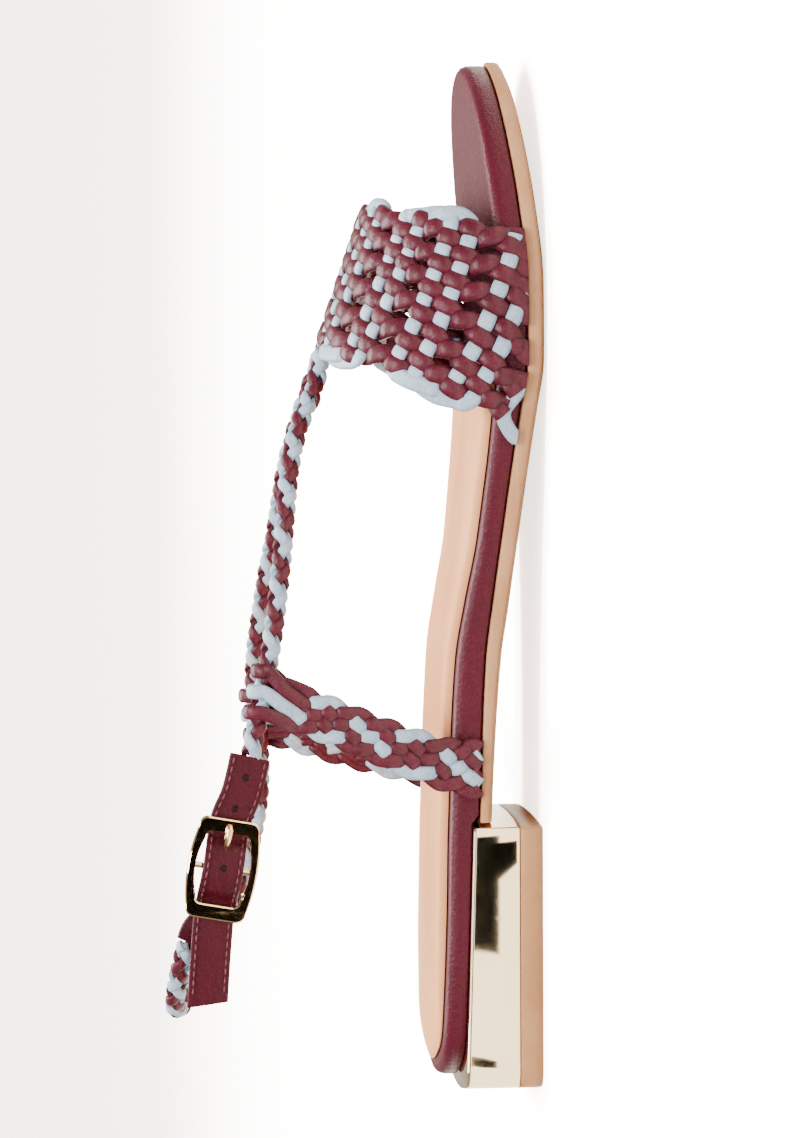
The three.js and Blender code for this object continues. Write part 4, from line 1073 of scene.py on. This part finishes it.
def floor_finish():
    """Paper that lights the shoe as pale paper does and shows as a burnt-out white."""
    made, start, place = new_finish("studio_floor")
    seen = start.node("LightPath")
    paper = noise(place, 3, 2).ramp(0.3, 0.7).mix((0.56, 0.55, 0.53), (0.57, 0.56, 0.54))
    mirrored = start.node("LightPath", None, None, "Is Glossy Ray")
    diffuse = start.node("BsdfDiffuse", None, {
        "Color": seen.mix(mirrored.mix(paper, (1.35, 1.28, 1.14)), (5.0, 4.75, 4.6))})
    glow = start.node("Emission", None, {"Color": seen.mix((0, 0, 0), (2.8, 2.6, 2.4))})
    made.node_tree.links.new(made.node_tree.nodes["Material Output"].inputs["Surface"],
                             start.node("AddShader", None, {0: diffuse, 1: glow}).socket)
    return made


floor_mesh = bpy.data.meshes.new("studio_floor")
sweep = [(-6, 0), (3, 0), (4.5, 0.3), (5.5, 1.2), (6, 3), (6, 9)]
floor_mesh.from_pydata([(x, y, z) for y, z in sweep for x in (-30, 30)], [],
                       [(2 * i, 2 * i + 1, 2 * i + 3, 2 * i + 2) for i in range(len(sweep) - 1)])
floor_mesh.shade_smooth()
studio_floor = bpy.data.objects.new("studio_floor", floor_mesh)
floor_mesh.materials.append(floor_finish())
bpy.context.scene.collection.objects.link(studio_floor)

world = bpy.data.worlds.new("studio")
bpy.context.scene.world = world
world.use_nodes = True
background = world.node_tree.nodes["Background"].inputs
background["Color"].default_value = (1.0, 0.985, 0.96, 1)
seen_sky = Shade(world.node_tree).node("LightPath") * 9.0 + 0.5
world.node_tree.links.new(background["Strength"], seen_sky.socket)


def add_light(name, place, aim, width, height, power, colour=(1, 1, 1)):
    lamp = bpy.data.lights.new(name, "AREA")
    lamp.shape = "RECTANGLE"
    lamp.size, lamp.size_y, lamp.energy, lamp.color = width, height, power, colour
    made = bpy.data.objects.new(name, lamp)
    made.location = place
    made.rotation_euler = (Vector(aim) - Vector(place)).to_track_quat("-Z", "Y").to_euler()
    bpy.context.scene.collection.objects.link(made)
    return made


add_light("key_above", (0.1, 0.9, 1.7), (0, 0, 0.03), 1.3, 1.0, 72, (1, 0.985, 0.96))
add_light("top_front", (0.15, -0.8, 1.5), (0, 0, 0.04), 0.8, 0.7, 40, (1, 0.99, 0.97))
add_light("fill_front", (-0.3, -1.8, 0.9), (0, 0, 0.04), 1.2, 0.9, 11, (1, 0.99, 0.98))


def add_card(name, corners):
    """A black card that only the gilt parts mirror; corners in millimetres."""
    mesh = bpy.data.meshes.new(name)
    mesh.from_pydata(((np.array(corners, float) + shift) / 1000).tolist(), [], [(0, 1, 2, 3)])
    made = bpy.data.objects.new(name, mesh)
    black, start, place = new_finish(name)
    mesh.materials.append(set_finish(black, (0.002, 0.002, 0.002, 1), 0.9,
                                       **{"Specular IOR Level": 0.0}))
    bpy.context.scene.collection.objects.link(made)
    made.visible_camera = made.visible_diffuse = made.visible_shadow = False


add_card("card_heel_upper", [(22, -122, 0.5), (62, -122, 0.5), (56, -216, 0.5), (10, -216, 0.5)])
add_card("card_heel_rear", [(-16, -128, 0.5), (-10, -128, 0.5), (-19, -200, 0.5), (-27, -200, 0.5)])
add_card("card_heel_lower", [(52, -78, 0.5), (60, -78, 0.5), (55, -122, 0.5), (42, -122, 0.5)])
add_card("card_buckle", [(-130, -600, 30), (-32, -600, 30), (-32, -600, 95), (-130, -600, 95)])

view = bpy.data.cameras.new("view")
view.sensor_fit = "AUTO"
view.sensor_width = 36
view.lens = 36 * 4477 / 1138  # a focal length of 4477 pixels on a picture 1138 high
view.clip_start, view.clip_end = 0.05, 100
camera = bpy.data.objects.new("view", view)
right, up, back = ((-0.0048276, -0.0861795, -0.9962679), (0.9984266, 0.0552441, -0.0096168),
                   (0.0558667, -0.9947468, 0.0857772))
placed = Matrix((right, up, back)).transposed().to_4x4()
placed.translation = Vector((np.array([190.139, -1101.7, 127.269]) + shift) / 1000)
camera.matrix_world = placed
bpy.context.scene.collection.objects.link(camera)
bpy.context.scene.camera = camera
